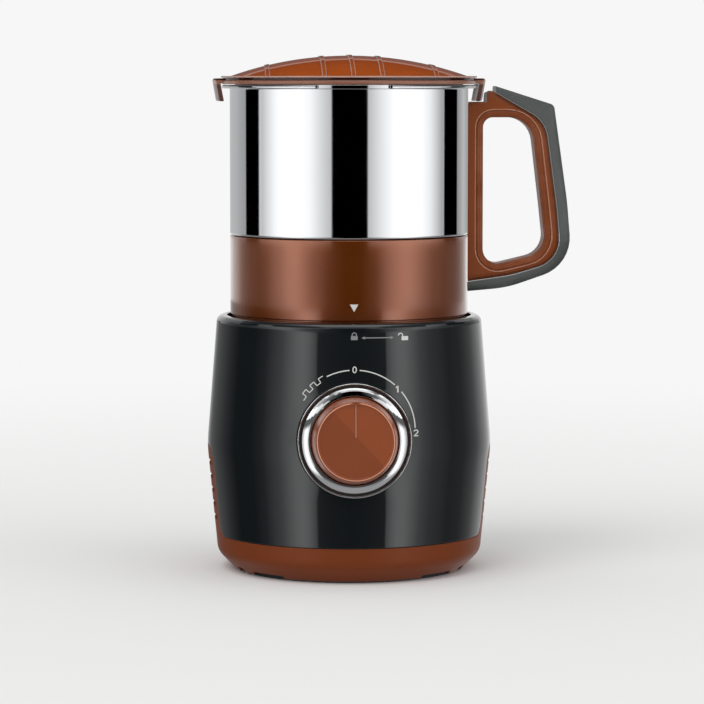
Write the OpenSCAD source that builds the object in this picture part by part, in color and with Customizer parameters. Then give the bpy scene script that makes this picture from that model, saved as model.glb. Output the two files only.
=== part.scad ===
// Electric grain mill: a motor base, a lift-off grinding cup with a handle, and a domed lid.
// Millimetres. +Z is up, the knob faces -Y and the handle is on +X. The spin axis is X = Y = 0.

/* [Base] */
// Height of the deck that the cup stands in
deck_z = 129.5; // [126:0.5:136]
// Widest radius of the base
waist_r = 72.5; // [71.5:0.5:75]
// Height of the widest place
waist_z = 63.8; // [60:0.2:68]
// Radius of the outer cone where it meets the deck
shoulder_r = 67.3; // [66.8:0.1:69]
// Radius of the outer cone at its lower end
ankle_r = 67.25; // [67:0.05:68]
// Height of the lower end of the outer cone
ankle_z = 9; // [8:0.2:11]
// Radius of the lower edge of the skirt
edge_r = 59.2; // [59:0.1:59.8]
// Rounding between the deck and the side
shoulder_round = 3.5; // [2.8:0.1:4]
// Rounding between the side and the bevel below it
bottom_round = 8; // [6:0.5:9]
// Height of the lower edge of the skirt above the table
skirt_z = 0.8; // [0.6:0.1:1.4]
// Wall of the housing and the skirt
shell_wall = 2.6; // [2.2:0.1:3]
// Height of the joint between the skirt and the housing
joint_z = 18.3; // [16:0.5:20]
// Half width of the side panels that rise from the skirt
panel_half_w = 18.2; // [16:0.2:20]
// Height of the top of the side panels
panel_top_z = 63.6; // [56:0.2:68]
// Rounding of the top corners of the side panels
panel_round = 9; // [6:0.5:12]
// Number of cooling slots in each side panel
panel_slots = 5; // [3:1:6]

/* [Well] */
// Radius of the well in the deck
well_r = 62.3; // [62.1:0.1:62.6]
// Height of the floor of the well
well_floor_z = 115; // [114:0.5:116.5]
// Thickness of the floor of the well
well_floor = 3.5; // [3:0.1:4]
// Radius of the hole for the drive coupling
drive_hole_r = 17; // [16:0.5:19]

/* [Cup] */
// Outer radius of the cup and its collar
cup_r = 60.5; // [60:0.1:60.8]
// Wall of the steel cup
cup_wall = 0.9; // [0.7:0.1:1.1]
// Height of the lower edge of the visible steel
cup_seam_z = 170; // [166:0.5:176]
// Height of the top of the rim
rim_z = 246.1; // [242:0.5:252]
// Radius of the rim
rim_r = 64.6; // [64:0.1:65]
// Thickness of the rolled rim
rim_t = 1.8; // [1.7:0.1:2.2]
// Half angle of the gaps in the rim
rim_gap_angle = 17; // [15:0.5:20]
// Height of the floor inside the cup
cup_floor_z = 157; // [155:0.5:158]
// Wall of the collar
collar_wall = 2.2; // [1.8:0.1:2.4]
// Angle that the cup turns through to unlock
unlock_angle = 22; // [18:1:26]

/* [Lid] */
// Height of the top of the dome above the rim
dome_rise = 14.8; // [13:0.2:18]
// Radius of the sphere that the dome follows
dome_r = 180; // [160:5:200]
// Wall of the dome
dome_wall = 2.4; // [2:0.1:3]
// Radius of the edge of the lid
lid_r = 65; // [64.8:0.1:66]
// Radius of the outside of the hooks
hook_r = 69.5; // [68.8:0.1:70]
// Depth of the hooks below the rim
hook_drop = 8.2; // [7.4:0.1:8.4]
// Half angle of each hook
hook_angle = 13.5; // [10:0.5:14]

/* [Handle] */
// Height of the top of the finger opening
grip_top_z = 229.7; // [226:0.1:232]
// Height of the lowest place of the finger opening
grip_low_z = 153.6; // [152.6:0.1:156]
// Reach of the finger opening from the spin axis
grip_reach = 99.8; // [97:0.2:106]
// Width of the inner frame of the handle
frame_w = 20; // [16:0.5:24]
// Width of the outer cover of the handle
cover_w = 23; // [19:0.5:26]
// Rounding of the long edges of the handle
handle_round = 3; // [2:0.5:4]

/* [Knob] */
// Height of the knob's axis where it meets the bezel
knob_z = 72.5; // [70:0.5:76]
// Tilt of the knob's axis above level
knob_tilt = 4; // [0:0.5:6]
// Outer radius of the bezel
bezel_r = 28.15; // [27:0.1:28.6]
// Radius of the knob at its foot
knob_r = 21.4; // [20:0.1:21.8]
// Radius of the knob at its face
knob_face_r = 19.4; // [17:0.1:20]
// Height of the knob in front of the bezel
knob_h = 13; // [10:0.5:16]

/* [Motor] */
// Radius of the motor shaft
shaft_r = 4; // [3.6:0.1:4.2]
// Radius of the rotor
rotor_r = 20; // [18:0.5:20.5]
// Gap between the rotor and the stator
air_gap = 0.6; // [0.4:0.1:1]
// Height of the stack of laminations
stack_h = 30; // [26:1:32]
// Radius of the cooling fan
fan_r = 33; // [28:0.5:36]
// Number of blades of the cooling fan
fan_blades = 12; // [8:1:14]

/* [Blades] */
// Radius swept by the lower blade
low_blade_r = 49; // [42:0.5:52]
// Radius swept by the upper blade
high_blade_r = 38; // [30:0.5:44]
// Thickness of the blades
blade_t = 1.5; // [1.2:0.1:2]
// Radius of the blade shaft
blade_shaft_r = 4; // [3.6:0.1:4.2]

/* [Hidden] */
$fn = 96;
eps = 0.01;

// Clearances
seam_gap = 0.3;      // between shells of one assembly
part_gap = 0.3;      // between pieces that move past each other
slip = 0.1;          // between pieces that are fitted together
run_fit = 0.05;      // radial clearance of a running fit
press = 0.02;        // radial clearance of a pressed or threaded fit

// Colours
brown = "#8a4e32";
black = "#22282a";
dark = "#4b5453";
steel = "#d5d8da";
chrome = "#e8eaec";
rubber = "#1b1b1b";
copper = "#b5673a";
brass = "#c7a24a";

// Base
deck_under_z = deck_z - shell_wall;
slab_z = 5.8;                        // underside of the skirt's inner flange
slab_t = 2.2;
slab_r = 44;
panel_fillet = 6;
panel_inner_x = 60;                  // the side panels lie outside this distance from the axis
slot_h = 2.4;
slot_pitch = 7;
slot_low_z = 27;
slot_half_w = 12;
rim_out_r = 57;                      // rest rim of the bottom plate
rim_in_r = 52;
plate_z = 3;
plate_t = 2.5;
foot_r = 7;
foot_ring_r = 47;
foot_angles = [45, 135, 225, 315];
foot_pocket = 2.6;
notch_w = 21;
notch_h = 2.4;
small_notch_w = 6.4;
small_notch_angle = 66.5;
post_ring_r = 50;
post_r = 4.5;
post_angles = [22, 158, 202, 338];   // from +X
post_low_z = slab_z + slab_t;
post_hole_r = 1.4;
post_hole_depth = 14;
screw_r = 1.38;
screw_head_r = 3;
screw_head_h = 1.8;

// Well
well_out_r = shoulder_r - shoulder_round;
well_under_z = well_floor_z - well_floor;
lug_count = 3;
lug_half_angle = 4;
lug_r = well_r - part_gap;
lug_h = 4;
stop_clear_angle = 0.5;
stop_h = 9;
lip_t = 2;
lip_h = 3.5;

// Cup
collar_z = well_floor_z + 2.5;
collar_in_r = cup_r - collar_wall;
collar_gap = 0.8;                    // the visible collar ends this far above the deck
collar_step = 0.6;
nest_r = collar_in_r - seam_gap;     // outside of the steel inside the collar
cup_in_r = cup_r - cup_wall;
cup_corner = 6;
bulkhead_t = 3;
bulkhead_z = cup_floor_z - cup_wall - seam_gap;
hub_r = 12;                          // neck of the blade seat
hub_hole_r = hub_r + part_gap;
rim_gap_in_r = cup_r + 0.7;

// Blade drive
seat_flange_r = 17;
seat_flange_t = 3.5;
gasket_t = 1;
seat_top_z = cup_floor_z + gasket_t + seat_flange_t;
seat_low_z = cup_floor_z - 18;
bush_r = 7;
bush_low_z = seat_low_z + 1.5;
bush_h = 16;
seal_low_z = bush_low_z + bush_h + part_gap;
nut_h = 7;
nut_r = 19;
socket_r = 14.5;
socket_low_z = well_floor_z + 3;
socket_depth = 8.5;
socket_h = 15;
star_root_r = 7;
star_tip_r = 10;
star_teeth = 6;
star_tooth_w = 3.2;
star_clear = 0.4;
neck_r = 7;
star_top_z = socket_low_z + socket_depth - 0.6;
star_low_z = well_floor_z - 0.5;
shoulder_disc_t = 1.1;
shoulder_disc_r = 5.6;
blade_z = seat_top_z + 0.4 + shoulder_disc_t;
spindle_r = 3;
spacer_h = 6;
high_blade_z = blade_z + blade_t + spacer_h;
acorn_h = 7.5;
acorn_r = 6;

// Motor stack, all from the bottom up
fan_z = 8;
fan_h = 8;
low_bearing_z = 21;
bearing_h = 7;
bearing_r = 11;
commutator_z = 33.5;
commutator_h = 12.5;
commutator_r = 12;
stack_z = 52;
coil_over = 7.5;
coil_in_r = rotor_r + 3;
coil_out_r = rotor_r + 8.5;
window_out_r = rotor_r + 9.5;
window_angle = 38;
stator_r = 38;
stator_half_depth = 31;
stack_top_z = stack_z + stack_h;
top_bracket_z = stack_top_z + 12;
bracket_t = 4;
high_bearing_z = top_bracket_z - 1;
mount_ring_r = 40;
mount_r = 5.5;
mount_h = 8;
mount_z = top_bracket_z + bracket_t;
bolt_x = 33.8;
bolt_r = 2;
bolt_head_r = 3.4;
bolt_nut_h = 3;
low_bracket_z = low_bearing_z - 1;
hub_wall = 3.2;
shaft_low_z = fan_z - 1;
shaft_step_z = high_bearing_z + bearing_h + 3;
brush_w = 6;
brush_h = 7;
brush_z = commutator_z + commutator_h / 2;
holder_wall = 1;
holder_len = 15;

// Knob
bezel_y = -72.3;                     // where the knob's axis meets the front of the bezel
bezel_depth = 11;
bezel_bore_r = knob_r + 0.4;
bezel_lip_w = 1;                     // bright ring outside the dark one
groove_w = 1.1;
pan_wall = 2.4;
pan_r = bezel_r + 0.25;
spindle_knob_r = 3;
bushing_r = 5;
bushing_h = 5.5;
switch_w = 30;
switch_d = 15;
knob_sink = 5;

// Interlock, behind the motor
lock_y = 50;
lock_r = 2.5;
lock_top_z = well_floor_z + 3;
lock_travel = 3;
lock_flange_z = well_under_z - lock_travel - 1.5;
lock_flange_t = 1.2;
lock_flange_r = 4.2;
stem_r = 1.5;
shelf_z = 97;
shelf_t = 2;
cam_gap = 0.3;
cam_slope = 0.2;
cam_flat = 6;
cam_len = 23;
cam_w = 9.5;

// Cord inlet
gland_z = 32;
gland_bore_r = 3.6;
gland_r = 5.5;
gland_flange_r = 9;
gland_seat_y = side_r(gland_z + gland_flange_r) + slip;
gland_back_y = gland_seat_y + 3.6;
gland_front_y = gland_seat_y - 14;
gland_relief = 0.3;                  // the bore is wider inside the wall than in the flange
gland_nut_r = 8.6;
gland_nut_t = 4;
gland_nut_y = sqrt(pow(side_r(gland_z - gland_nut_r) - shell_wall, 2) - pow(gland_nut_r, 2)) - slip;

// Circuit board
board_y = 52;
board_t = 1.6;
board_half_w = 25;
board_low_z = 42;
board_high_z = 84;
board_hole = [20, 4];                // from the middle and from the ends

// Lid
lid_low_z = rim_z + part_gap;
lid_top_z = rim_z + dome_rise;
dome_centre_z = lid_top_z - dome_r;
lid_edge_z = rim_z + 4.5;
plug_r = cup_in_r - 1.6;
plug_wall = 2;
plug_low_z = rim_z - 6.6;
gasket_low_z = rim_z - 4.9;
gasket_high_z = rim_z - 1.8;
gasket_in_r = plug_r - 1;
gasket_out_r = cup_in_r - 0.4;
hook_t = 2.3;
hook_lean = 2;
rib_t = 2.3;
rib_proud = 0.45;
rib_near_x = 14.3;
rib_far_x = 41.9;
rib_x = [-rib_far_x, -rib_near_x, 0, rib_near_x, rib_far_x];
lid_edge_w = 4;                      // flat edge outside the dome

// Handle
handle_gap = 0.15;
hook_path = 0.5;                     // room left round the path of the hooks
grip_lip = 3;
grip_groove = 0.9;
grip_groove_depth = 0.6;
handle_screw_z = [grip_low_z - 1.2, grip_top_z + 4.7];
handle_screw_x = grip_reach - 20.8;
post_t = 7.2;                        // frame between the cup and the finger opening
frame_t = 7.8;                       // frame outside the finger opening
cover_t = 5.6;                       // cover outside the frame
grip_lean = 7.8;                     // how much less the opening reaches at its top
grip_bend_z = 186;
grip_top_w = grip_reach - grip_lean - cup_r - post_t;
grip_top_round = min(13, grip_top_w * 0.54);
handle_in_x = cup_r - 5.5;           // the outlines start inside the cup and are cut back
cover_start_x = cup_r + 13.5;
strap_half_w = 8;
strap_t = 1.4;
strap_low_z = 200;
strap_high_z = handle_screw_z[1] + 2.8;
strap_boss_r = 3.2;
strap_boss_len = 6.6;

// ---------- helpers ----------

function unit(v) = v / norm(v);
function flat(p) = [p[0], p[1]];
function wrapped(a) = a > 180 ? a - 360 : a < -180 ? a + 360 : a;
function lug_angle(i) = 270 + i * 360 / lug_count;

// Radius of the side of the base at a height below its widest place
function side_r(z) = ankle_r + (waist_r - ankle_r) * (z - ankle_z) / (waist_z - ankle_z);

// The arc that rounds the corner p between its neighbours a and b
function corner(a, p, b, r, n) =
    r <= 0 ? [p] :
    let (
        u = unit(a - p),
        w = unit(b - p),
        half = acos(u * w) / 2,
        c = p + unit(u + w) * r / sin(half),
        s = p + u * r / tan(half) - c,
        e = p + w * r / tan(half) - c,
        start = atan2(s[1], s[0]),
        turn = wrapped(atan2(e[1], e[0]) - start)
    )
    [for (i = [0 : n]) c + r * [cos(start + turn * i / n), sin(start + turn * i / n)]];

// A closed outline from corners [x, y, radius]
function rounded(c, n = 5) =
    let (k = len(c))
    [for (i = [0 : k - 1])
        each corner(flat(c[(i + k - 1) % k]), flat(c[i]), flat(c[(i + 1) % k]), c[i][2], n)];

module spun(corners, n = 5) {
    rotate_extrude() polygon(rounded(corners, n));
}

module disc(r, low, high) {
    translate([0, 0, low]) cylinder(r = r, h = high - low);
}

module ring(inner, outer, low, high) {
    difference() {
        disc(outer, low, high);
        disc(inner, low - 1, high + 1);
    }
}

module box(low, high) {
    translate(low) cube(high - low);
}

module around(angles, r) {
    for (a = angles) rotate(a) translate([r, 0, 0]) children();
}

// A wedge from the axis, centred on angle 0, up to 75 degrees either way
module wedge(half, low, high, r = 90) {
    translate([0, 0, low]) linear_extrude(high - low)
        polygon([[0, 0], [r, -r * tan(half)], [r, r * tan(half)]]);
}

// Children drawn with +Z along the knob's axis and +Y up the front of the base
module at_knob() {
    translate([0, bezel_y, knob_z]) rotate([90 - knob_tilt, 0, 0]) children();
}

// Children drawn with +Z towards +Y, from the axis at height z
module to_back(z, x = 0) {
    translate([x, 0, z]) rotate([-90, 0, 0]) children();
}

// Screw with its head's underside at z = 0 and its shank below
module screw(len, r = screw_r, head_r = screw_head_r, head_h = screw_head_h) {
    difference() {
        union() {
            disc(r, -len, eps);
            disc(head_r, 0, head_h);
        }
        for (a = [0, 90]) rotate(a)
            translate([-head_r * 0.6, -0.4, head_h * 0.5]) cube([head_r * 1.2, 0.8, head_h]);
    }
}

// Solid that fills the outline of the base, set in by a wall
module base_solid(inset = 0) {
    lean = atan((ankle_r - edge_r) / (ankle_z - skirt_z));
    flare = (waist_r - ankle_r) / (waist_z - ankle_z);
    rise = inset * (1 - cos(lean)) / (sin(lean) - cos(lean) * flare);
    spun([
        [0, skirt_z + inset, 0],
        [edge_r - inset * tan((90 - lean) / 2), skirt_z + inset, max(0, 0.8 - inset)],
        [ankle_r - inset + rise * flare, ankle_z + rise, bottom_round - inset],
        [waist_r - inset, waist_z, 60],
        [shoulder_r - inset, deck_z - inset, shoulder_round - inset],
        [0, deck_z - inset, 0]
    ]);
}

module base_shell() {
    difference() {
        base_solid();
        base_solid(shell_wall);
    }
}

// Space of the skirt and its side panels, grown by a gap
module skirt_space(gap = 0) {
    reach = panel_half_w + panel_fillet + 4;
    disc(waist_r + 9, -1, joint_z + gap);
    for (side = [-1, 1])
        translate([side * (panel_inner_x + 12), 0, 0]) rotate([90, 0, 90])
            linear_extrude(24, center = true) polygon(rounded([
                [-reach, joint_z - 4, 0],
                [-reach, joint_z + gap, 0],
                [-panel_half_w - gap, joint_z + gap, panel_fillet - gap],
                [-panel_half_w - gap, panel_top_z + gap, panel_round + gap],
                [panel_half_w + gap, panel_top_z + gap, panel_round + gap],
                [panel_half_w + gap, joint_z + gap, panel_fillet - gap],
                [reach, joint_z + gap, 0],
                [reach, joint_z - 4, 0]
            ], 8));
}

// ---------- base, fixed pieces ----------

module base_housing() {
    color(black) difference() {
        union() {
            difference() {
                base_shell();
                skirt_space(seam_gap);
                disc(well_r, deck_under_z - 1, deck_z + 1);
            }
            intersection() {
                base_solid(eps);
                at_knob() disc(pan_r + pan_wall, -bezel_depth - pan_wall, 12);
            }
            around(post_angles, post_ring_r) disc(post_r, post_low_z, well_under_z - slip);
            intersection() {
                base_solid(shell_wall / 2);
                for (a = post_angles) rotate(a)
                    box([post_ring_r, -1, panel_top_z + 4], [waist_r, 1, well_under_z - 6]);
            }
            intersection() {
                base_solid(shell_wall / 2);
                board_posts();
            }
        }
        at_knob() disc(pan_r, -bezel_depth, 20);
        at_knob() disc(bushing_r + slip, -bezel_depth - 9, 0);
        around(post_angles, post_ring_r) {
            disc(post_hole_r, post_low_z - 1, post_low_z + post_hole_depth);
            disc(post_hole_r, well_under_z - post_hole_depth, well_under_z + 1);
        }
        to_back(gland_z) disc(gland_r + slip, gland_front_y, waist_r + 5);
    }
}

module board_posts() {
    for (x = [-board_hole[0], board_hole[0]])
        for (z = [board_low_z + board_hole[1], board_high_z - board_hole[1]])
            to_back(z, x) ring(post_hole_r, 3.2, board_y + board_t, waist_r);
}

module base_skirt() {
    color(brown) difference() {
        union() {
            intersection() {
                base_shell();
                skirt_space();
            }
            intersection() {
                base_solid(shell_wall / 2);
                ring(slab_r, waist_r, slab_z, slab_z + slab_t);
            }
        }
        disc(rim_out_r + 0.9, -1, slab_z - 1.2);
        around(post_angles, post_ring_r) disc(screw_r + 0.4, 0, 20);
        for (a = foot_angles) rotate(a)
            box([panel_inner_x - 8, -notch_w / 2, 0], [waist_r + 5, notch_w / 2, notch_h]);
        for (a = [small_notch_angle, -small_notch_angle, 180 - small_notch_angle,
                  180 + small_notch_angle]) rotate(a - 90)
            box([panel_inner_x - 8, -small_notch_w / 2, 0],
                [waist_r + 5, small_notch_w / 2, notch_h + 0.8]);
        for (side = [0, 180], i = [0 : panel_slots - 1]) rotate(side)
            translate([panel_inner_x, 0, slot_low_z + i * slot_pitch]) rotate([0, 90, 0])
                linear_extrude(20) {
                    square([slot_h, 2 * slot_half_w], center = true);
                    for (end = [-1, 1]) translate([0, end * slot_half_w]) circle(slot_h / 2);
                }
    }
}

module bottom_plate() {
    color(black) difference() {
        union() {
            disc(rim_out_r, plate_z, plate_z + plate_t);
            ring(rim_in_r, rim_out_r, 0, plate_z + 0.5);
            around(foot_angles, foot_ring_r) disc(foot_r + 1.5, 0, plate_z + 0.5);
        }
        around(foot_angles, foot_ring_r) disc(foot_r + press, -1, foot_pocket);
        around(post_angles, post_ring_r) {
            disc(screw_head_r + 0.3, -1, plate_z + 0.9);
            disc(screw_r + 0.4, 0, 10);
        }
        for (x = [-4 : 4])
            box([x * 6 - 1.3, -sqrt(pow(34, 2) - pow(x * 6, 2)), 0],
                [x * 6 + 1.3, sqrt(pow(34, 2) - pow(x * 6, 2)), 10]);
    }
}

module rubber_feet() {
    color(rubber) around(foot_angles, foot_ring_r) difference() {
        disc(foot_r, 0, foot_pocket);
        ring(foot_r - 2, foot_r - 1.4, -1, 0.5);
    }
}

module bottom_screws() {
    color(steel) around(post_angles, post_ring_r)
        translate([0, 0, plate_z + 0.9]) mirror([0, 0, 1]) screw(13);
}

module cup_well() {
    travel = unlock_angle + 2 * lug_half_angle + 2 * stop_clear_angle;
    color(black) difference() {
        union() {
            ring(well_r, well_out_r, well_under_z, deck_under_z);
            ring(drive_hole_r, well_r + 1, well_under_z, well_floor_z);
            ring(drive_hole_r, drive_hole_r + lip_t, well_floor_z - 1, well_floor_z + lip_h);
            for (i = [0 : lug_count - 1])
                rotate(lug_angle(i) - lug_half_angle - stop_clear_angle + travel) intersection() {
                    ring(cup_r + 0.4, well_r + 1, well_floor_z - 1, well_floor_z + stop_h);
                    rotate((360 / lug_count - travel) / 2)
                        wedge((360 / lug_count - travel) / 2, 0, deck_z);
                }
            around([45, 135, 225, 315], mount_ring_r)
                disc(mount_r, mount_z + mount_h, well_under_z + 1);
            for (x = [-13, 13]) translate([x, lock_y, 0])
                disc(2.5, shelf_z + shelf_t, well_under_z + 1);
        }
        around(post_angles, post_ring_r) {
            disc(screw_r + 0.3, 0, deck_z);
            disc(screw_head_r + 0.3, well_floor_z - screw_head_h - 0.1, deck_z);
        }
        around([45, 135, 225, 315], mount_ring_r)
            disc(screw_r + press, mount_z, well_under_z + 1.5);
        translate([0, lock_y, 0]) disc(lock_r + run_fit, well_under_z - 1, deck_z);
    }
}

module well_screws() {
    color(steel) around(post_angles, post_ring_r)
        translate([0, 0, well_floor_z - screw_head_h - 0.1]) screw(12);
}

module well_seal() {
    color(rubber) spun([
        [neck_r + 0.5, well_under_z, 0],
        [drive_hole_r - press, well_under_z, 0],
        [drive_hole_r - press, well_floor_z - 1, 0],
        [neck_r + 0.5, well_floor_z - 2, 0]
    ]);
}

module knob_bezel() {
    color(chrome) at_knob() difference() {
        spun([
            [bezel_bore_r, -bezel_depth + 3, 0],
            [bezel_bore_r, 0.8, 0.3],
            [bezel_r - 4.07, 0.32, 11],
            [bezel_r - bezel_lip_w - groove_w, -0.92, 0.2],
            [bezel_r - bezel_lip_w - groove_w, -1.8, 0],
            [bezel_r - bezel_lip_w, -1.8, 0],
            [bezel_r - bezel_lip_w, 0, 0.3],
            [bezel_r, 0, 0.5],
            [bezel_r, -bezel_depth, 0],
            [bezel_r - 2.4, -bezel_depth, 0],
            [bezel_r - 2.4, -bezel_depth + 3, 0]
        ]);
    }
}

module bezel_inlay() {
    color(black) at_knob() ring(bezel_r - bezel_lip_w - groove_w + 0.05,
        bezel_r - bezel_lip_w - 0.05, -1.8, -1.1);
}

module speed_switch() {
    back = -bezel_depth - pan_wall;
    color(dark) at_knob() difference() {
        union() {
            box([-switch_w / 2, -switch_w / 2, back - switch_d], [switch_w / 2, switch_w / 2, back]);
            disc(bushing_r, back - 1, back + pan_wall + bushing_h);
            for (x = [-9, 0, 9]) box([x - 2.4, -switch_w / 2 - 7, back - 11], [x + 2.4, 0, back - 10]);
        }
        disc(spindle_knob_r + run_fit, back - switch_d + 2, 20);
    }
}

module switch_nut() {
    color(brass) at_knob() difference() {
        translate([0, 0, -bezel_depth]) cylinder(r = 8.2, h = 2.6, $fn = 6);
        disc(bushing_r + press, -20, 0);
    }
}

module circuit_board() {
    color("#2e6b45") difference() {
        union() {
            box([-board_half_w, board_y, board_low_z], [board_half_w, board_y + board_t, board_high_z]);
            box([-18, board_y - 13, board_low_z + 6], [-4, board_y + eps, board_low_z + 24]);
            box([2, board_y - 6, board_low_z + 8], [17, board_y + eps, board_low_z + 20]);
            to_back(board_low_z + 30, -8) disc(5, board_y - 9, board_y + eps);
            to_back(board_low_z + 30, 8) disc(4, board_y - 11, board_y + eps);
        }
        for (x = [-board_hole[0], board_hole[0]])
            for (z = [board_low_z + board_hole[1], board_high_z - board_hole[1]])
                to_back(z, x) disc(post_hole_r + 0.2, board_y - 1, board_y + 3);
    }
}

module board_screws() {
    color(steel) for (x = [-board_hole[0], board_hole[0]])
        for (z = [board_low_z + board_hole[1], board_high_z - board_hole[1]])
            translate([x, board_y, z]) rotate([90, 0, 0]) screw(7, screw_r, 2.4, 1.6);
}

module interlock_switch() {
    top = shelf_z - slip;
    color("#2b2b2b") translate([0, lock_y, 0]) {
        difference() {
            box([-10, -3.2, top - 10], [10, 3.2, top]);
            box([-2.6, -1.6, top - 1.2], [2.6, 1.6, top + 1]);
        }
        box([-1.6, -1, top - 1.8], [1.6, 1, top - 0.4]);
        for (x = [-8, 0, 8]) box([x - 0.4, -1.6, top - 15], [x + 0.4, 1.6, top - 9.9]);
    }
}

module interlock_bracket() {
    color(steel) translate([0, lock_y, 0]) difference() {
        box([-16, -4.5, shelf_z], [16, 4.5, shelf_z + shelf_t]);
        disc(stem_r + 0.3, 0, deck_z);
    }
}

module cord_gland() {
    color(rubber) to_back(gland_z) difference() {
        union() {
            disc(gland_r, gland_front_y, gland_back_y - 2);
            spun([
                [0, gland_seat_y, 0],
                [gland_flange_r, gland_seat_y, 0],
                [gland_flange_r, gland_back_y, 1.2],
                [0, gland_back_y, 0]
            ]);
        }
        disc(gland_bore_r, 0, gland_back_y + 1);
        disc(gland_bore_r + gland_relief, 0, gland_seat_y);
    }
}

module gland_nut() {
    color(dark) to_back(gland_z) difference() {
        translate([0, 0, gland_nut_y - gland_nut_t]) cylinder(r = gland_nut_r, h = gland_nut_t, $fn = 6);
        disc(gland_r + press, 0, waist_r);
    }
}

// ---------- motor, fixed pieces ----------

module stator_core() {
    color("#6f7376") translate([0, 0, stack_z]) linear_extrude(stack_h) difference() {
        intersection() {
            circle(stator_r);
            square([2 * stator_r, 2 * stator_half_depth], center = true);
        }
        circle(rotor_r + air_gap);
        for (side = [0, 180]) rotate(side) intersection() {
            circle(window_out_r);
            polygon([[0, 0], [stator_r, -stator_r * tan(window_angle)],
                     [stator_r, stator_r * tan(window_angle)]]);
        }
        for (x = [-bolt_x, bolt_x]) translate([x, 0]) circle(bolt_r + 0.1);
    }
}

module field_coils() {
    color(copper) difference() {
        union() {
            for (side = [0, 180]) rotate(side) intersection() {
                ring(coil_in_r, coil_out_r, stack_z - coil_over, stack_top_z + coil_over);
                wedge(window_angle - 4, stack_z - coil_over, stack_top_z + coil_over);
            }
            ring(coil_in_r, coil_out_r, stack_top_z + 0.5, stack_top_z + coil_over);
            ring(coil_in_r, coil_out_r, stack_z - coil_over, stack_z - 0.5);
        }
        box([-stator_r, -0.5, 0], [stator_r, 0.5, deck_z]);
    }
}

// Bar of a motor bracket, along X
module bracket_bar(half_len, half_w, low, high) {
    box([-half_len, -half_w, low], [half_len, half_w, high]);
    for (x = [-half_len, half_len]) translate([x, 0, 0]) disc(half_w, low, high);
}

module motor_top_bracket() {
    color("#9da1a3") difference() {
        union() {
            bracket_bar(bolt_x, 6, top_bracket_z, mount_z);
            for (a = [45, 135]) rotate(a) bracket_bar(mount_ring_r, 6, top_bracket_z, mount_z);
            disc(bearing_r + hub_wall, high_bearing_z, high_bearing_z + bearing_h + 1);
            for (x = [-bolt_x, bolt_x]) translate([x, 0, 0])
                disc(3.8, stack_top_z, top_bracket_z + 1);
        }
        disc(bearing_r + press, high_bearing_z - 1, high_bearing_z + bearing_h);
        disc(shaft_r + 1.5, 0, deck_z);
        for (x = [-bolt_x, bolt_x]) translate([x, 0, 0]) disc(bolt_r + 0.1, 0, deck_z);
        around([45, 135, 225, 315], mount_ring_r) disc(screw_r + 0.3, 0, deck_z);
    }
}

module motor_bottom_bracket() {
    color("#9da1a3") difference() {
        union() {
            bracket_bar(bolt_x, 6, low_bracket_z, low_bracket_z + bracket_t);
            disc(bearing_r + hub_wall, low_bracket_z, low_bearing_z + bearing_h);
            for (x = [-bolt_x, bolt_x]) translate([x, 0, 0])
                disc(3.8, low_bracket_z + 1, stack_z);
            for (side = [-1, 1]) translate([side * 26, 0, 0])
                disc(2.4, low_bracket_z + 1, brush_z - brush_h / 2 - holder_wall);
        }
        disc(bearing_r + press, low_bearing_z, low_bearing_z + bearing_h + 1);
        disc(shaft_r + 1.5, 0, deck_z);
        for (x = [-bolt_x, bolt_x]) translate([x, 0, 0]) disc(bolt_r + 0.1, 0, deck_z);
    }
}

// Ball bearing seen as its two rings and the shield between them
module bearing(low) {
    spun([
        [shaft_r + run_fit, low, 0.3],
        [shaft_r + 2.2, low, 0],
        [shaft_r + 2.2, low + 0.5, 0],
        [bearing_r - 2, low + 0.5, 0],
        [bearing_r - 2, low, 0],
        [bearing_r, low, 0.3],
        [bearing_r, low + bearing_h, 0.3],
        [bearing_r - 2, low + bearing_h, 0],
        [bearing_r - 2, low + bearing_h - 0.5, 0],
        [shaft_r + 2.2, low + bearing_h - 0.5, 0],
        [shaft_r + 2.2, low + bearing_h, 0],
        [shaft_r + run_fit, low + bearing_h, 0.3]
    ], 2);
}

module upper_bearing() {
    color(steel) bearing(high_bearing_z);
}

module lower_bearing() {
    color(steel) bearing(low_bearing_z);
}

// Children drawn on both sides of the commutator, with +X outward
module both_brushes() {
    for (side = [0, 180]) rotate(side) children();
}

module brush_holders() {
    outer_w = brush_w / 2 + holder_wall;
    outer_h = brush_h / 2 + holder_wall;
    color(brass) both_brushes() difference() {
        box([commutator_r + 2, -outer_w, brush_z - outer_h],
            [commutator_r + 2 + holder_len, outer_w, brush_z + outer_h]);
        box([0, -brush_w / 2 - slip, brush_z - brush_h / 2 - slip],
            [commutator_r + holder_len, brush_w / 2 + slip, brush_z + brush_h / 2 + slip]);
    }
}

module carbon_brushes() {
    color("#2a2a2c") both_brushes() difference() {
        box([commutator_r - 1, -brush_w / 2, brush_z - brush_h / 2],
            [commutator_r + 13, brush_w / 2, brush_z + brush_h / 2]);
        disc(commutator_r + part_gap, 0, deck_z);
    }
}

module motor_bolts() {
    color(steel) for (x = [-bolt_x, bolt_x]) translate([x, 0, mount_z]) difference() {
        union() {
            disc(bolt_r, low_bracket_z - mount_z - bolt_nut_h - 0.4, eps);
            disc(bolt_head_r, 0, 2.6);
            translate([0, 0, low_bracket_z - mount_z - bolt_nut_h])
                cylinder(r = bolt_head_r + 0.4, h = bolt_nut_h, $fn = 6);
        }
        translate([0, 0, 1.2]) cylinder(r = 1.7, h = 3, $fn = 6);
    }
}

module motor_mounts() {
    color(rubber) around([45, 135, 225, 315], mount_ring_r) difference() {
        spun([
            [0, mount_z, 0],
            [mount_r, mount_z, 0],
            [mount_r - 1.2, mount_z + mount_h / 2, 3],
            [mount_r, mount_z + mount_h, 0],
            [0, mount_z + mount_h, 0]
        ]);
        disc(screw_r + 0.3, 0, deck_z);
    }
}

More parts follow.
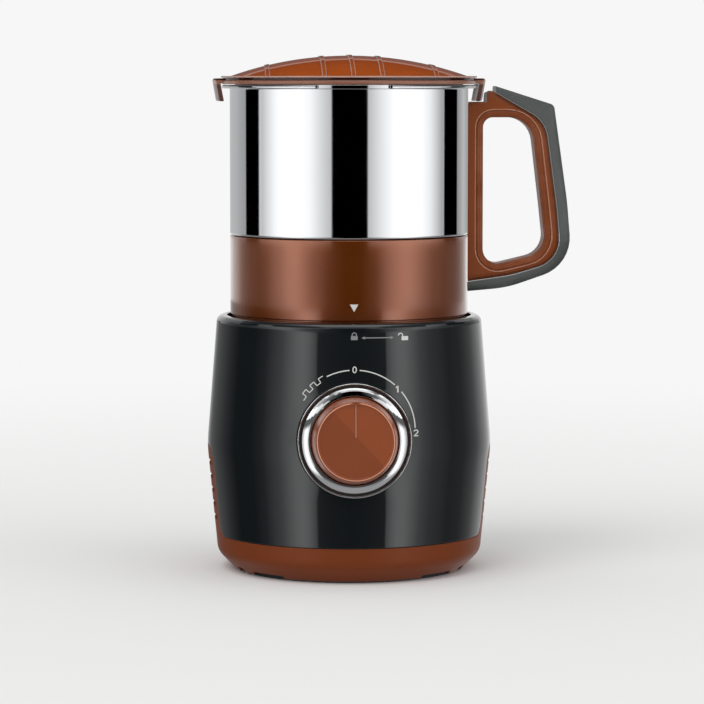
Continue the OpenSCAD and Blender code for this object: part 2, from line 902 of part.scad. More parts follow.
module mount_screws() {
    color(steel) around([45, 135, 225, 315], mount_ring_r)
        translate([0, 0, top_bracket_z]) mirror([0, 0, 1]) screw(mount_h + bracket_t + 5);
}

// ---------- rotor ----------

module motor_shaft() {
    color(steel) {
        disc(shaft_r, shaft_low_z, shaft_step_z);
        disc(spindle_r, shaft_step_z - 1, star_top_z - 3);
    }
}

module rotor_core() {
    slots = 12;
    color("#85898c") translate([0, 0, stack_z]) linear_extrude(stack_h) difference() {
        circle(rotor_r);
        circle(shaft_r + press);
        for (i = [0 : slots - 1]) rotate(i * 360 / slots) {
            translate([rotor_r - 1, 0]) square([3, 1.2], center = true);
            translate([rotor_r - 5, 0]) circle(2.6, $fn = 24);
        }
    }
}

module armature_windings() {
    color(copper) for (low = [stack_z - 5, stack_top_z])
        spun([
            [shaft_r + press, low, 0],
            [rotor_r - 3, low, 1.8],
            [rotor_r - 3, low + 5, 1.8],
            [shaft_r + press, low + 5, 0]
        ]);
}

module commutator() {
    bars = 24;
    color(copper) translate([0, 0, commutator_z]) linear_extrude(commutator_h) difference() {
        circle(commutator_r);
        circle(shaft_r + press);
        for (i = [0 : bars - 1]) rotate(i * 360 / bars)
            translate([commutator_r, 0]) square([1.6, 0.5], center = true);
    }
}

module cooling_fan() {
    hub = shaft_r + 4;
    color(dark) difference() {
        union() {
            disc(hub, fan_z, fan_z + fan_h);
            disc(fan_r, fan_z + fan_h - 1.6, fan_z + fan_h);
            for (i = [0 : fan_blades - 1]) rotate(i * 360 / fan_blades)
                translate([hub - 1, 0, fan_z]) rotate([0, 0, 12])
                    cube([fan_r - hub - 1, 1.2, fan_h - 1]);
        }
        disc(shaft_r + press, 0, deck_z);
    }
}

// Outline of the star coupling, grown by a clearance
module star(grow = 0) {
    circle(star_root_r + grow);
    intersection() {
        circle(star_tip_r + grow);
        for (i = [0 : star_teeth / 2 - 1]) rotate(i * 360 / star_teeth)
            square([2 * star_tip_r + 4, star_tooth_w + 2 * grow], center = true);
    }
}

module drive_coupling() {
    color(steel) difference() {
        union() {
            disc(neck_r, shaft_step_z, star_low_z + 1);
            translate([0, 0, star_low_z]) linear_extrude(star_top_z - star_low_z) star();
        }
        disc(spindle_r + press, 0, star_top_z - 3 + slip);
    }
}

// ---------- knob ----------

module knob() {
    color(brown) at_knob() difference() {
        union() {
            difference() {
                spun([
                    [0, -knob_sink, 0],
                    [knob_r, -knob_sink, 0.5],
                    [knob_r, 0.6, 1],
                    [knob_face_r, knob_h, 0.9],
                    [knob_face_r - 1.2, knob_h, 0.3],
                    [knob_face_r - 1.6, knob_h - 0.5, 0],
                    [0, knob_h - 0.5, 0]
                ]);
                spun([
                    [spindle_knob_r + 3, -knob_sink - 1, 0],
                    [knob_r - 2.2, -knob_sink - 1, 0],
                    [knob_face_r - 2.4, knob_h - 3, 2],
                    [spindle_knob_r + 3, knob_h - 3, 0]
                ]);
            }
            intersection() {
                spun([
                    [knob_face_r - 4, -knob_sink, 0],
                    [knob_r + 0.2, -knob_sink, 0],
                    [knob_r + 0.2, 0.6, 0],
                    [knob_face_r + 0.3, knob_h + 0.3, 0],
                    [knob_face_r - 4, knob_h + 0.3, 0]
                ]);
                linear_extrude(knob_h + 1) polygon([[-2.6, knob_face_r - 1.4],
                    [0, knob_face_r + 1.6], [2.6, knob_face_r - 1.4]]);
            }
        }
        disc(spindle_knob_r + press, -20, knob_h - 5);
        box([-0.55, 1.6, knob_h - 1.2], [0.55, knob_face_r - 0.6, knob_h + 1]);
    }
}

module knob_spindle() {
    color(brass) at_knob()
        disc(spindle_knob_r, -bezel_depth - pan_wall - switch_d + 2.5, knob_h - 5.2);
}

// ---------- interlock ----------

module interlock_pin() {
    color("#d8d2c4") translate([0, lock_y, 0]) {
        disc(lock_r, lock_flange_z, lock_top_z - lock_r);
        translate([0, 0, lock_top_z - lock_r]) sphere(lock_r);
        disc(lock_flange_r, lock_flange_z, lock_flange_z + lock_flange_t);
        disc(stem_r, shelf_z - 0.1, lock_flange_z + 1);
    }
}

// Wire ring of the spring as a point on the helix
function helix(t, r, low, rise, turns) =
    [r * cos(360 * turns * t), r * sin(360 * turns * t), low + rise * t];

module interlock_spring() {
    wire = 0.35;
    coil_r = 3;
    turns = 5;
    steps = 70;
    sides = 6;
    low = shelf_z + shelf_t + wire + 0.05;
    rise = lock_flange_z - low - wire - 0.05;
    points = [for (i = [0 : steps], k = [0 : sides - 1])
        let (
            t = i / steps,
            out = [cos(360 * turns * t), sin(360 * turns * t), 0],
            a = 360 * k / sides
        )
        helix(t, coil_r, low, rise, turns) + wire * (cos(a) * out + [0, 0, sin(a)])];
    faces = concat(
        [[for (k = [0 : sides - 1]) k]],
        [for (i = [0 : steps - 1], k = [0 : sides - 1])
            [i * sides + k, (i + 1) * sides + k, (i + 1) * sides + (k + 1) % sides,
             i * sides + (k + 1) % sides]],
        [[for (k = [sides - 1 : -1 : 0]) steps * sides + k]]
    );
    color(steel) translate([0, lock_y, 0]) polyhedron(points, faces);
}

// ---------- cup ----------

module cup_shell() {
    color(steel) difference() {
        spun([
            [hub_hole_r, cup_floor_z - cup_wall, 0],
            [nest_r, cup_floor_z - cup_wall, cup_corner],
            [nest_r, cup_seam_z + part_gap, 0.4],
            [cup_r, cup_seam_z + part_gap, 1.1],
            [cup_r, rim_z - rim_t, 0.5],
            [rim_r, rim_z - rim_t, 0.8],
            [rim_r, rim_z, 0.8],
            [cup_in_r, rim_z, 1],
            [cup_in_r, cup_seam_z + part_gap + cup_wall, 0.2],
            [nest_r - cup_wall, cup_seam_z + part_gap + cup_wall, 1.3],
            [nest_r - cup_wall, cup_floor_z, cup_corner - cup_wall],
            [hub_hole_r, cup_floor_z, 0]
        ]);
        for (side = [90, 270]) rotate(side) difference() {
            wedge(rim_gap_angle, rim_z - rim_t - 1, rim_z + 1);
            disc(rim_gap_in_r, 0, rim_z + 5);
        }
    }
}

// Ramp that holds the interlock pin down while the cup is locked
module lock_cam() {
    low = lock_top_z + cam_gap;
    translate([0, lock_y + 3, 0]) rotate([90, 0, 0]) linear_extrude(cam_w)
        polygon([[-cam_flat, low], [0, low], [cam_len, low + cam_len * cam_slope],
                 [cam_len, bulkhead_z - 1], [-cam_flat, bulkhead_z - 1]]);
}

module cup_collar() {
    color(brown) difference() {
        union() {
            spun([
                [collar_in_r, collar_z, 0],
                [cup_r - collar_step, collar_z, 0.5],
                [cup_r - collar_step, deck_z + collar_gap, 0],
                [cup_r, deck_z + collar_gap, 0.4],
                [cup_r, cup_seam_z, 0.4],
                [collar_in_r, cup_seam_z, 0],
                [collar_in_r, bulkhead_z, 0],
                [hub_hole_r, bulkhead_z, 0],
                [hub_hole_r, bulkhead_z - bulkhead_t, 0],
                [collar_in_r, bulkhead_z - bulkhead_t, 0]
            ]);
            for (i = [0 : lug_count - 1]) rotate(lug_angle(i)) intersection() {
                ring(cup_r - 1, lug_r, collar_z + 0.5, collar_z + 0.5 + lug_h);
                wedge(lug_half_angle, 0, deck_z);
            }
            intersection() {
                lock_cam();
                disc(collar_in_r + 0.5, 0, deck_z * 2);
            }
            intersection() {
                disc(cup_r - 0.5, 0, cup_seam_z);
                translate([cup_r - 12, 0, handle_screw_z[0]]) rotate([0, 90, 0])
                    cylinder(r = 3.6, h = 12);
            }
        }
        translate([cup_r - 10, 0, handle_screw_z[0]]) rotate([0, 90, 0])
            cylinder(r = screw_r + press, h = 20);
    }
}

// Outline of the finger opening, in X and Z
function grip_outline() = rounded([
    [cup_r + post_t, grip_top_z, 5],
    [grip_reach - grip_lean, grip_top_z, grip_top_round],
    [grip_reach - 2.6, grip_bend_z, 120],
    [grip_reach, grip_low_z + 7.7, 11],
    [cup_r + post_t, grip_low_z, 7.5]
], 8);

// Outline of the inner frame without its opening
function frame_outline() = rounded([
    [handle_in_x, grip_top_z + 5.6, 0],
    [cup_r + 11.5, grip_top_z + 13.6, 1.5],
    [grip_reach - grip_lean + frame_t - 0.4, grip_top_z - 2.2, 16],
    [grip_reach + frame_t - 2.3, grip_bend_z - 2, 100],
    [grip_reach + frame_t, grip_low_z + 3.7, 15],
    [grip_reach - 17.8, grip_low_z - 3.9, 60],
    [handle_in_x, grip_low_z - 7.7, 0]
], 8);

// Outline of the cover, out to its far side
function cover_outline() = rounded([
    [handle_in_x, grip_top_z + 10.3, 0],
    [cup_r + 9.5, grip_top_z + 16.9, 0],
    [cup_r + 14.7, grip_top_z + 15.4, 0.8],
    [grip_reach - grip_lean + frame_t + 3.8, grip_top_z + 6.3, 3],
    [grip_reach + frame_t + cover_t - 2.7, grip_bend_z + 1, 150],
    [grip_reach + frame_t + cover_t, grip_low_z + 1.2, 20],
    [grip_reach - 19.8, grip_low_z - 10.2, 60],
    [handle_in_x, grip_low_z - 12.4, 0]
], 8);

// Children's outline in X and Z, made into a plate across Y with rounded long edges
module crowned(w, r) {
    steps = 4;
    rotate([90, 0, 0]) {
        linear_extrude(w - 2 * r, center = true) children();
        for (i = [0 : steps - 1], side = [-1, 1]) {
            from = r * sin(90 * i / steps);
            to = r * sin(90 * (i + 1) / steps);
            translate([0, 0, side * (w / 2 - r + (from + to) / 2)])
                linear_extrude(to - from + eps, center = true)
                    offset(delta = r * cos(90 * (i + 0.5) / steps) - r) children();
        }
    }
}

// Space round the cup, its rim and the hooks of the lid
module cup_space() {
    disc(cup_r + handle_gap, collar_z, lid_top_z);
    ring(nest_r, hook_r + hook_path, rim_z - hook_drop - hook_path, lid_top_z);
}

module handle_frame() {
    color(brown) difference() {
        crowned(frame_w, handle_round) difference() {
            polygon(frame_outline());
            polygon(grip_outline());
        }
        cup_space();
        for (side = [-1, 1]) translate([0, side * frame_w / 2, 0]) rotate([90, 0, 0])
            linear_extrude(2 * grip_groove_depth, center = true) difference() {
                offset(delta = grip_lip + grip_groove) polygon(grip_outline());
                offset(delta = grip_lip) polygon(grip_outline());
            }
        strap(2 * slip);
        for (z = handle_screw_z) translate([handle_screw_x, 0, z]) rotate([0, 90, 0]) {
            disc(screw_r + 0.15, cup_r - handle_screw_x - 5, 1);
            disc(screw_head_r + 0.3, 0, grip_reach - cup_r);
        }
    }
}

module handle_cover() {
    color(dark) difference() {
        crowned(cover_w, handle_round) polygon(cover_outline());
        rotate([90, 0, 0]) linear_extrude(cover_w + 2, center = true) {
            offset(delta = handle_gap) polygon(frame_outline());
            polygon([[0, grip_low_z], [0, lid_top_z], [cover_start_x, lid_top_z],
                     [cover_start_x, grip_low_z]]);
        }
        cup_space();
    }
}

// Steel strap that is spot welded to the cup, grown by a gap
module strap(gap = 0) {
    intersection() {
        disc(cup_r + strap_t + gap, strap_low_z - gap, strap_high_z + gap);
        box([0, -strap_half_w - gap, 0], [lid_r, strap_half_w + gap, lid_top_z]);
    }
    translate([cup_r, 0, handle_screw_z[1]]) rotate([0, 90, 0])
        disc(strap_boss_r + gap, 0, strap_t + strap_boss_len + gap);
}

module handle_bracket() {
    color(steel) difference() {
        strap();
        disc(cup_r + press, 0, lid_top_z);
        translate([cup_r + 1.6, 0, handle_screw_z[1]]) rotate([0, 90, 0])
            cylinder(r = screw_r + press, h = 20);
    }
}

module handle_screws() {
    color(steel) for (z = handle_screw_z)
        translate([handle_screw_x, 0, z]) rotate([0, 90, 0])
            screw(handle_screw_x - cup_r + (z < cup_seam_z ? 6 : -2.2));
}

module blade_seat() {
    color("#5b6063") spun([
        [bush_r + run_fit, seat_low_z, 0],
        [hub_r, seat_low_z, 0.6],
        [hub_r, seat_top_z - seat_flange_t, 0],
        [seat_flange_r, seat_top_z - seat_flange_t, 0],
        [seat_flange_r, seat_top_z, 1.6],
        [bush_r + run_fit, seat_top_z, 0.4]
    ]);
}

module seat_gasket() {
    color("#e6e3dc") ring(hub_r + part_gap, seat_flange_r - 0.5, cup_floor_z, cup_floor_z + gasket_t);
}

module seat_nut() {
    color(steel) difference() {
        translate([0, 0, bulkhead_z - bulkhead_t - nut_h]) cylinder(r = nut_r, h = nut_h, $fn = 6);
        disc(hub_r + press, 100, 200);
    }
}

// ---------- blade bearing ----------

module bearing_bush() {
    color(brass) ring(blade_shaft_r + run_fit, bush_r, bush_low_z, bush_low_z + bush_h);
}

module shaft_seal() {
    color(rubber) ring(blade_shaft_r + slip, bush_r - press, seal_low_z, seat_top_z - 0.5);
}

// ---------- blades ----------

module blade_shaft() {
    color(steel) {
        disc(blade_shaft_r, socket_low_z + socket_depth + 0.5, blade_z - shoulder_disc_t + 0.2);
        disc(shoulder_disc_r, blade_z - shoulder_disc_t, blade_z);
        disc(spindle_r, blade_z - 1, high_blade_z + blade_t + acorn_h - 2);
    }
}

// Two-armed blade: a hub, flat arms and tips that are bent by an angle
module blade(reach, tip, bend, root_w, end_w) {
    flat_len = reach - tip * cos(bend);
    difference() {
        union() {
            disc(7.5, 0, blade_t);
            for (side = [0, 180]) rotate(side) {
                linear_extrude(blade_t) polygon([
                    [0, -root_w / 2], [flat_len + 0.2, -end_w / 2],
                    [flat_len + 0.2, end_w * 0.3], [0, root_w / 2]]);
                translate([flat_len, 0, bend > 0 ? 0 : blade_t]) rotate([0, -bend, 0])
                    translate([0, 0, bend > 0 ? 0 : -blade_t])
                        linear_extrude(blade_t) polygon([
                            [0, -end_w / 2], [tip - 0.5, -end_w * 0.36],
                            [tip - 3, end_w * 0.3], [0, end_w * 0.3]]);
            }
        }
        disc(spindle_r + press, -20, 20);
    }
}

module lower_blade() {
    color(steel) translate([0, 0, blade_z]) blade(low_blade_r, 12, -12, 15, 12);
}

module upper_blade() {
    color(steel) translate([0, 0, high_blade_z]) rotate(90) blade(high_blade_r, 16, 42, 14, 10);
}

module blade_spacer() {
    color(steel) ring(spindle_r + press, 6.5, blade_z + blade_t, high_blade_z);
}

module blade_nut() {
    low = high_blade_z + blade_t;
    color(steel) difference() {
        union() {
            disc(acorn_r + 0.6, low, low + 1);
            translate([0, 0, low + 1]) cylinder(r = acorn_r, h = 3.4, $fn = 6);
            intersection() {
                disc(acorn_r * 0.84, low, low + acorn_h);
                translate([0, 0, low + acorn_h - acorn_r]) sphere(acorn_r);
            }
        }
        disc(spindle_r + press, low - 1, low + acorn_h - 1.8);
    }
}

module driven_coupling() {
    color("#34383a") difference() {
        spun([
            [0, socket_low_z, 0],
            [socket_r, socket_low_z, 0.8],
            [socket_r, socket_low_z + socket_h, 2.5],
            [0, socket_low_z + socket_h, 0]
        ]);
        translate([0, 0, socket_low_z - 1]) linear_extrude(socket_depth + 1) star(star_clear);
        disc(blade_shaft_r + press, socket_low_z, seat_low_z);
    }
}

// ---------- lid ----------

module lid_gasket() {
    color("#e9e4da") spun([
        [gasket_in_r + slip, gasket_low_z + slip, 0],
        [gasket_out_r - 0.6, gasket_low_z + slip, 0],
        [gasket_out_r, gasket_low_z + 0.8, 0.2],
        [gasket_out_r - 0.7, (gasket_low_z + gasket_high_z) / 2, 0.3],
        [gasket_out_r, gasket_high_z - 0.8, 0.2],
        [gasket_out_r - 0.6, gasket_high_z - slip, 0],
        [gasket_in_r + slip, gasket_high_z - slip, 0]
    ], 3);
}

// Hook at one side of the lid, as an arc round the axis
module lid_hook() {
    intersection() {
        spun([
            [lid_r - 3, lid_edge_z - 3.6, 0],
            [hook_r - hook_t - 0.2, lid_edge_z - 3.6, 0.6],
            [hook_r - hook_t - hook_lean, rim_z - hook_drop, 0.4],
            [hook_r - hook_lean, rim_z - hook_drop, 1],
            [hook_r, lid_edge_z - 1.2, 1.2],
            [lid_r - 3, lid_edge_z - 1.2, 0]
        ]);
        wedge(hook_angle, rim_z - 20, rim_z + 20);
    }
}

module lid_dome() {
    foot_z = dome_centre_z + sqrt(pow(dome_r, 2) - pow(lid_r - lid_edge_w, 2));
    color("#9a4a22", 0.85) {
        difference() {
            intersection() {
                translate([0, 0, dome_centre_z]) sphere(dome_r, $fn = 360);
                disc(lid_r - lid_edge_w, lid_low_z, lid_top_z + 1);
            }
            intersection() {
                translate([0, 0, dome_centre_z]) sphere(dome_r - dome_wall, $fn = 360);
                disc(plug_r - plug_wall, lid_low_z - 1, lid_top_z + 1);
            }
        }
        intersection() {
            difference() {
                translate([0, 0, dome_centre_z]) sphere(dome_r + rib_proud, $fn = 360);
                translate([0, 0, dome_centre_z]) sphere(dome_r - dome_wall - 1.5, $fn = 360);
            }
            disc(lid_r - 5, lid_low_z, lid_top_z + 1);
            for (x = rib_x) box([x - rib_t / 2, -lid_r, lid_low_z], [x + rib_t / 2, lid_r, lid_top_z + 1]);
        }
        spun([
            [plug_r - plug_wall, plug_low_z, 0.6],
            [plug_r, plug_low_z, 0.6],
            [plug_r, gasket_low_z, 0],
            [gasket_in_r, gasket_low_z, 0],
            [gasket_in_r, gasket_high_z, 0],
            [plug_r, gasket_high_z, 0],
            [plug_r, lid_low_z, 0],
            [lid_r - 0.4, lid_low_z, 0.3],
            [lid_r - 0.4, lid_low_z + 0.5, 0],
            [lid_r, lid_low_z + 0.7, 0],
            [lid_r, lid_edge_z - 2.4, 0.5],
            [lid_r - 0.9, lid_edge_z - 2.2, 0.2],
            [lid_r - 0.9, lid_edge_z - 1, 0],
            [lid_r, lid_edge_z - 0.8, 0.2],
            [lid_r, lid_edge_z, 0.4],
            [lid_r - lid_edge_w, foot_z, 0],
            [lid_r - 5, lid_low_z + 1, 0],
            [plug_r - plug_wall, lid_low_z + 1, 0]
        ], 4);
        for (side = [0, 180]) rotate(side) lid_hook();
    }
}

// ---------- drawing ----------

base_housing();
base_skirt();
bottom_plate();
rubber_feet();
bottom_screws();
cup_well();
well_screws();
well_seal();
knob_bezel();
bezel_inlay();
speed_switch();
switch_nut();
circuit_board();
board_screws();
interlock_switch();
interlock_bracket();
cord_gland();
gland_nut();
stator_core();
field_coils();
motor_top_bracket();
motor_bottom_bracket();
upper_bearing();
lower_bearing();
brush_holders();
carbon_brushes();
motor_bolts();
motor_mounts();
mount_screws();
motor_shaft();
rotor_core();
armature_windings();
commutator();
cooling_fan();
drive_coupling();
knob();
knob_spindle();
interlock_pin();
interlock_spring();
bearing_bush();
shaft_seal();
cup_shell();
cup_collar();
handle_frame();
handle_cover();
handle_bracket();
handle_screws();
blade_seat();
seat_gasket();
seat_nut();
blade_shaft();
lower_blade();
upper_blade();
blade_spacer();
blade_nut();
driven_coupling();
lid_gasket();
lid_dome();
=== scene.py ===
"""Electric grain mill: finishes, printed marks, floor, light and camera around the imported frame."""

import math

import bmesh
import bpy
from mathutils import Matrix, Vector
from mathutils.bvhtree import BVHTree


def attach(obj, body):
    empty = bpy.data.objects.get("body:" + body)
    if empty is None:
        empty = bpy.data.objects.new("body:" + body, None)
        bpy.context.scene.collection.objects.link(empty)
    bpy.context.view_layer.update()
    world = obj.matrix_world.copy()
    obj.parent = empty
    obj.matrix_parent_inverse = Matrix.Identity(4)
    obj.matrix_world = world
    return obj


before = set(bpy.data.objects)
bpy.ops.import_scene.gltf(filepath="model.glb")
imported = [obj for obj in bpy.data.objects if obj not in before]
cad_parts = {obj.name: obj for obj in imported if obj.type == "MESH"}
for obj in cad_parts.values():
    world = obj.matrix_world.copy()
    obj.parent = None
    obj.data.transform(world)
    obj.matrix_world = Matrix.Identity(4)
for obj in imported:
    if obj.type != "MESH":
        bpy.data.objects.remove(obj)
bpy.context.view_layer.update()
MM = 0.001


# ------------------------------------------------------ node graphs and helpers


class Graph:
    """Adds nodes to one node tree. All calls but node() and bearing() give an output socket."""

    def __init__(self, tree):
        self.tree = tree
        tree.nodes.clear()

    def feed(self, socket, value):
        if isinstance(value, bpy.types.NodeSocket):
            self.tree.links.new(value, socket)
        else:
            socket.default_value = value

    def node(self, kind, inputs=None, **settings):
        made = self.tree.nodes.new("ShaderNode" + kind)
        for name, value in settings.items():
            setattr(made, name, value)
        for name, value in (inputs or {}).items():
            self.feed(made.inputs[name], value)
        return made

    def math(self, operation, *values, clamp=False):
        made = self.node("Math", operation=operation, use_clamp=clamp)
        for socket, value in zip(made.inputs, values):
            self.feed(socket, value)
        return made.outputs[0]

    def vector(self, operation, *values):
        made = self.node("VectorMath", operation=operation)
        for socket, value in zip(made.inputs, values):
            self.feed(socket, value)
        return made.outputs["Value" if operation in ("DOT_PRODUCT", "LENGTH") else "Vector"]

    def scale(self, vector, factor):
        made = self.node("VectorMath", {0: vector, "Scale": factor}, operation="SCALE")
        return made.outputs[0]

    def mix(self, factor, a, b):
        made = self.node("Mix", data_type="RGBA", clamp_factor=True)
        for index, value in ((0, factor), (6, a), (7, b)):
            self.feed(made.inputs[index], value)
        return made.outputs[2]

    def span(self, value, from_low, from_high, to_low=0.0, to_high=1.0, smooth=False):
        made = self.node(
            "MapRange",
            {1: from_low, 2: from_high, 3: to_low, 4: to_high},
            interpolation_type="SMOOTHSTEP" if smooth else "LINEAR",
        )
        self.feed(made.inputs[0], value)
        return made.outputs[0]

    def noise(self, place, scale, detail=2.0):
        made = self.node("TexNoise", {"Vector": place, "Scale": scale, "Detail": detail})
        return made.outputs["Fac"]

    def ramp(self, value, stops, interpolation="LINEAR"):
        """stops: (place from 0 to 1, colour) pairs. With CONSTANT, each holds up to the next."""
        made = self.node("ValToRGB", {"Fac": value})
        made.color_ramp.interpolation = interpolation
        elements = made.color_ramp.elements
        for index, (place, colour) in enumerate(stops):
            element = elements[index] if index < 2 else elements.new(place)
            element.position = place
            element.color = colour
        return made.outputs["Color"]

    def bearing(self, place):
        """Degrees around the object, and the parts of the place: 0 is in front, 90 to the right."""
        parts = self.node("SeparateXYZ", {0: place}).outputs
        angle = self.math("ARCTAN2", parts["X"], self.math("MULTIPLY", parts["Y"], -1.0))
        return self.math("MULTIPLY", angle, 180 / math.pi), parts

    def panorama(self, bearing, stops):
        """Light around the object. stops: (bearing, light) pairs, with one at 0."""
        halves = []
        for low, high in ((-180, 0), (0, 180)):
            part = [
                ((b - low) / (high - low), grey(light / BRIGHT))
                for b, light in stops
                if low <= b <= high
            ]
            halves.append(self.ramp(self.span(bearing, low, high), part))
        return self.scale(self.mix(self.math("GREATER_THAN", bearing, 0.0), *halves), BRIGHT)


BRIGHT = 2.2  # a panorama's light is kept as a share of this, from 0 to 1 in its colour ramps


def new_material(name):
    """A material and the graph of its nodes."""
    material = bpy.data.materials.new(name)
    material.use_nodes = True
    return material, Graph(material.node_tree)


def add_object(name, data):
    made = bpy.data.objects.new(name, data)
    bpy.context.scene.collection.objects.link(made)
    return made


def grey(light):
    return (light, light, light, 1.0)


def linear(red, green, blue):
    """A colour as it shows on a screen, 0 to 255, as scene light."""

    def channel(value):
        value /= 255
        return value / 12.92 if value <= 0.04045 else ((value + 0.055) / 1.055) ** 2.4

    return (channel(red), channel(green), channel(blue), 1.0)


# ------------------------------------------------------------------- finishes

# colour: as on a screen. mottle: how far the colour wanders, over patches of mottle_mm.
# grain_um: how deep the surface grain is, with a pitch of grain_mm, drawn out by stretch.
# uneven: how far the roughness wanders. wear_and_highlight: how much paler edges are, from wear, and
# on the handle and its cover a painted highlight.
# edge_mm: how wide an edge is softened. rings_mm: pitch of layers or turns along Z, rings_um deep.
# lid: adds the bands of the lid's edge, with a painted shade and a painted highlight, and painted
# highlights along its ribs.
# painted_highlight: a highlight painted on the face, which is paler beyond a line: the way across it
# in X and Z, its place in mm, how much.
PLAIN = dict(
    metallic=0.0,
    roughness=0.4,
    uneven=0.05,
    coat=0.0,
    coat_roughness=0.05,
    coat_ior=1.5,
    ior=1.5,
    mottle=0.08,
    mottle_mm=9.0,
    grain_um=4.0,
    grain_mm=0.5,
    stretch=(1, 1, 1),
    wear_and_highlight=0.25,
    edge_mm=0.4,
    rings_mm=0.0,
    rings_um=0.0,
    transmission=0.0,
    lid=False,
    painted_highlight=None,
)

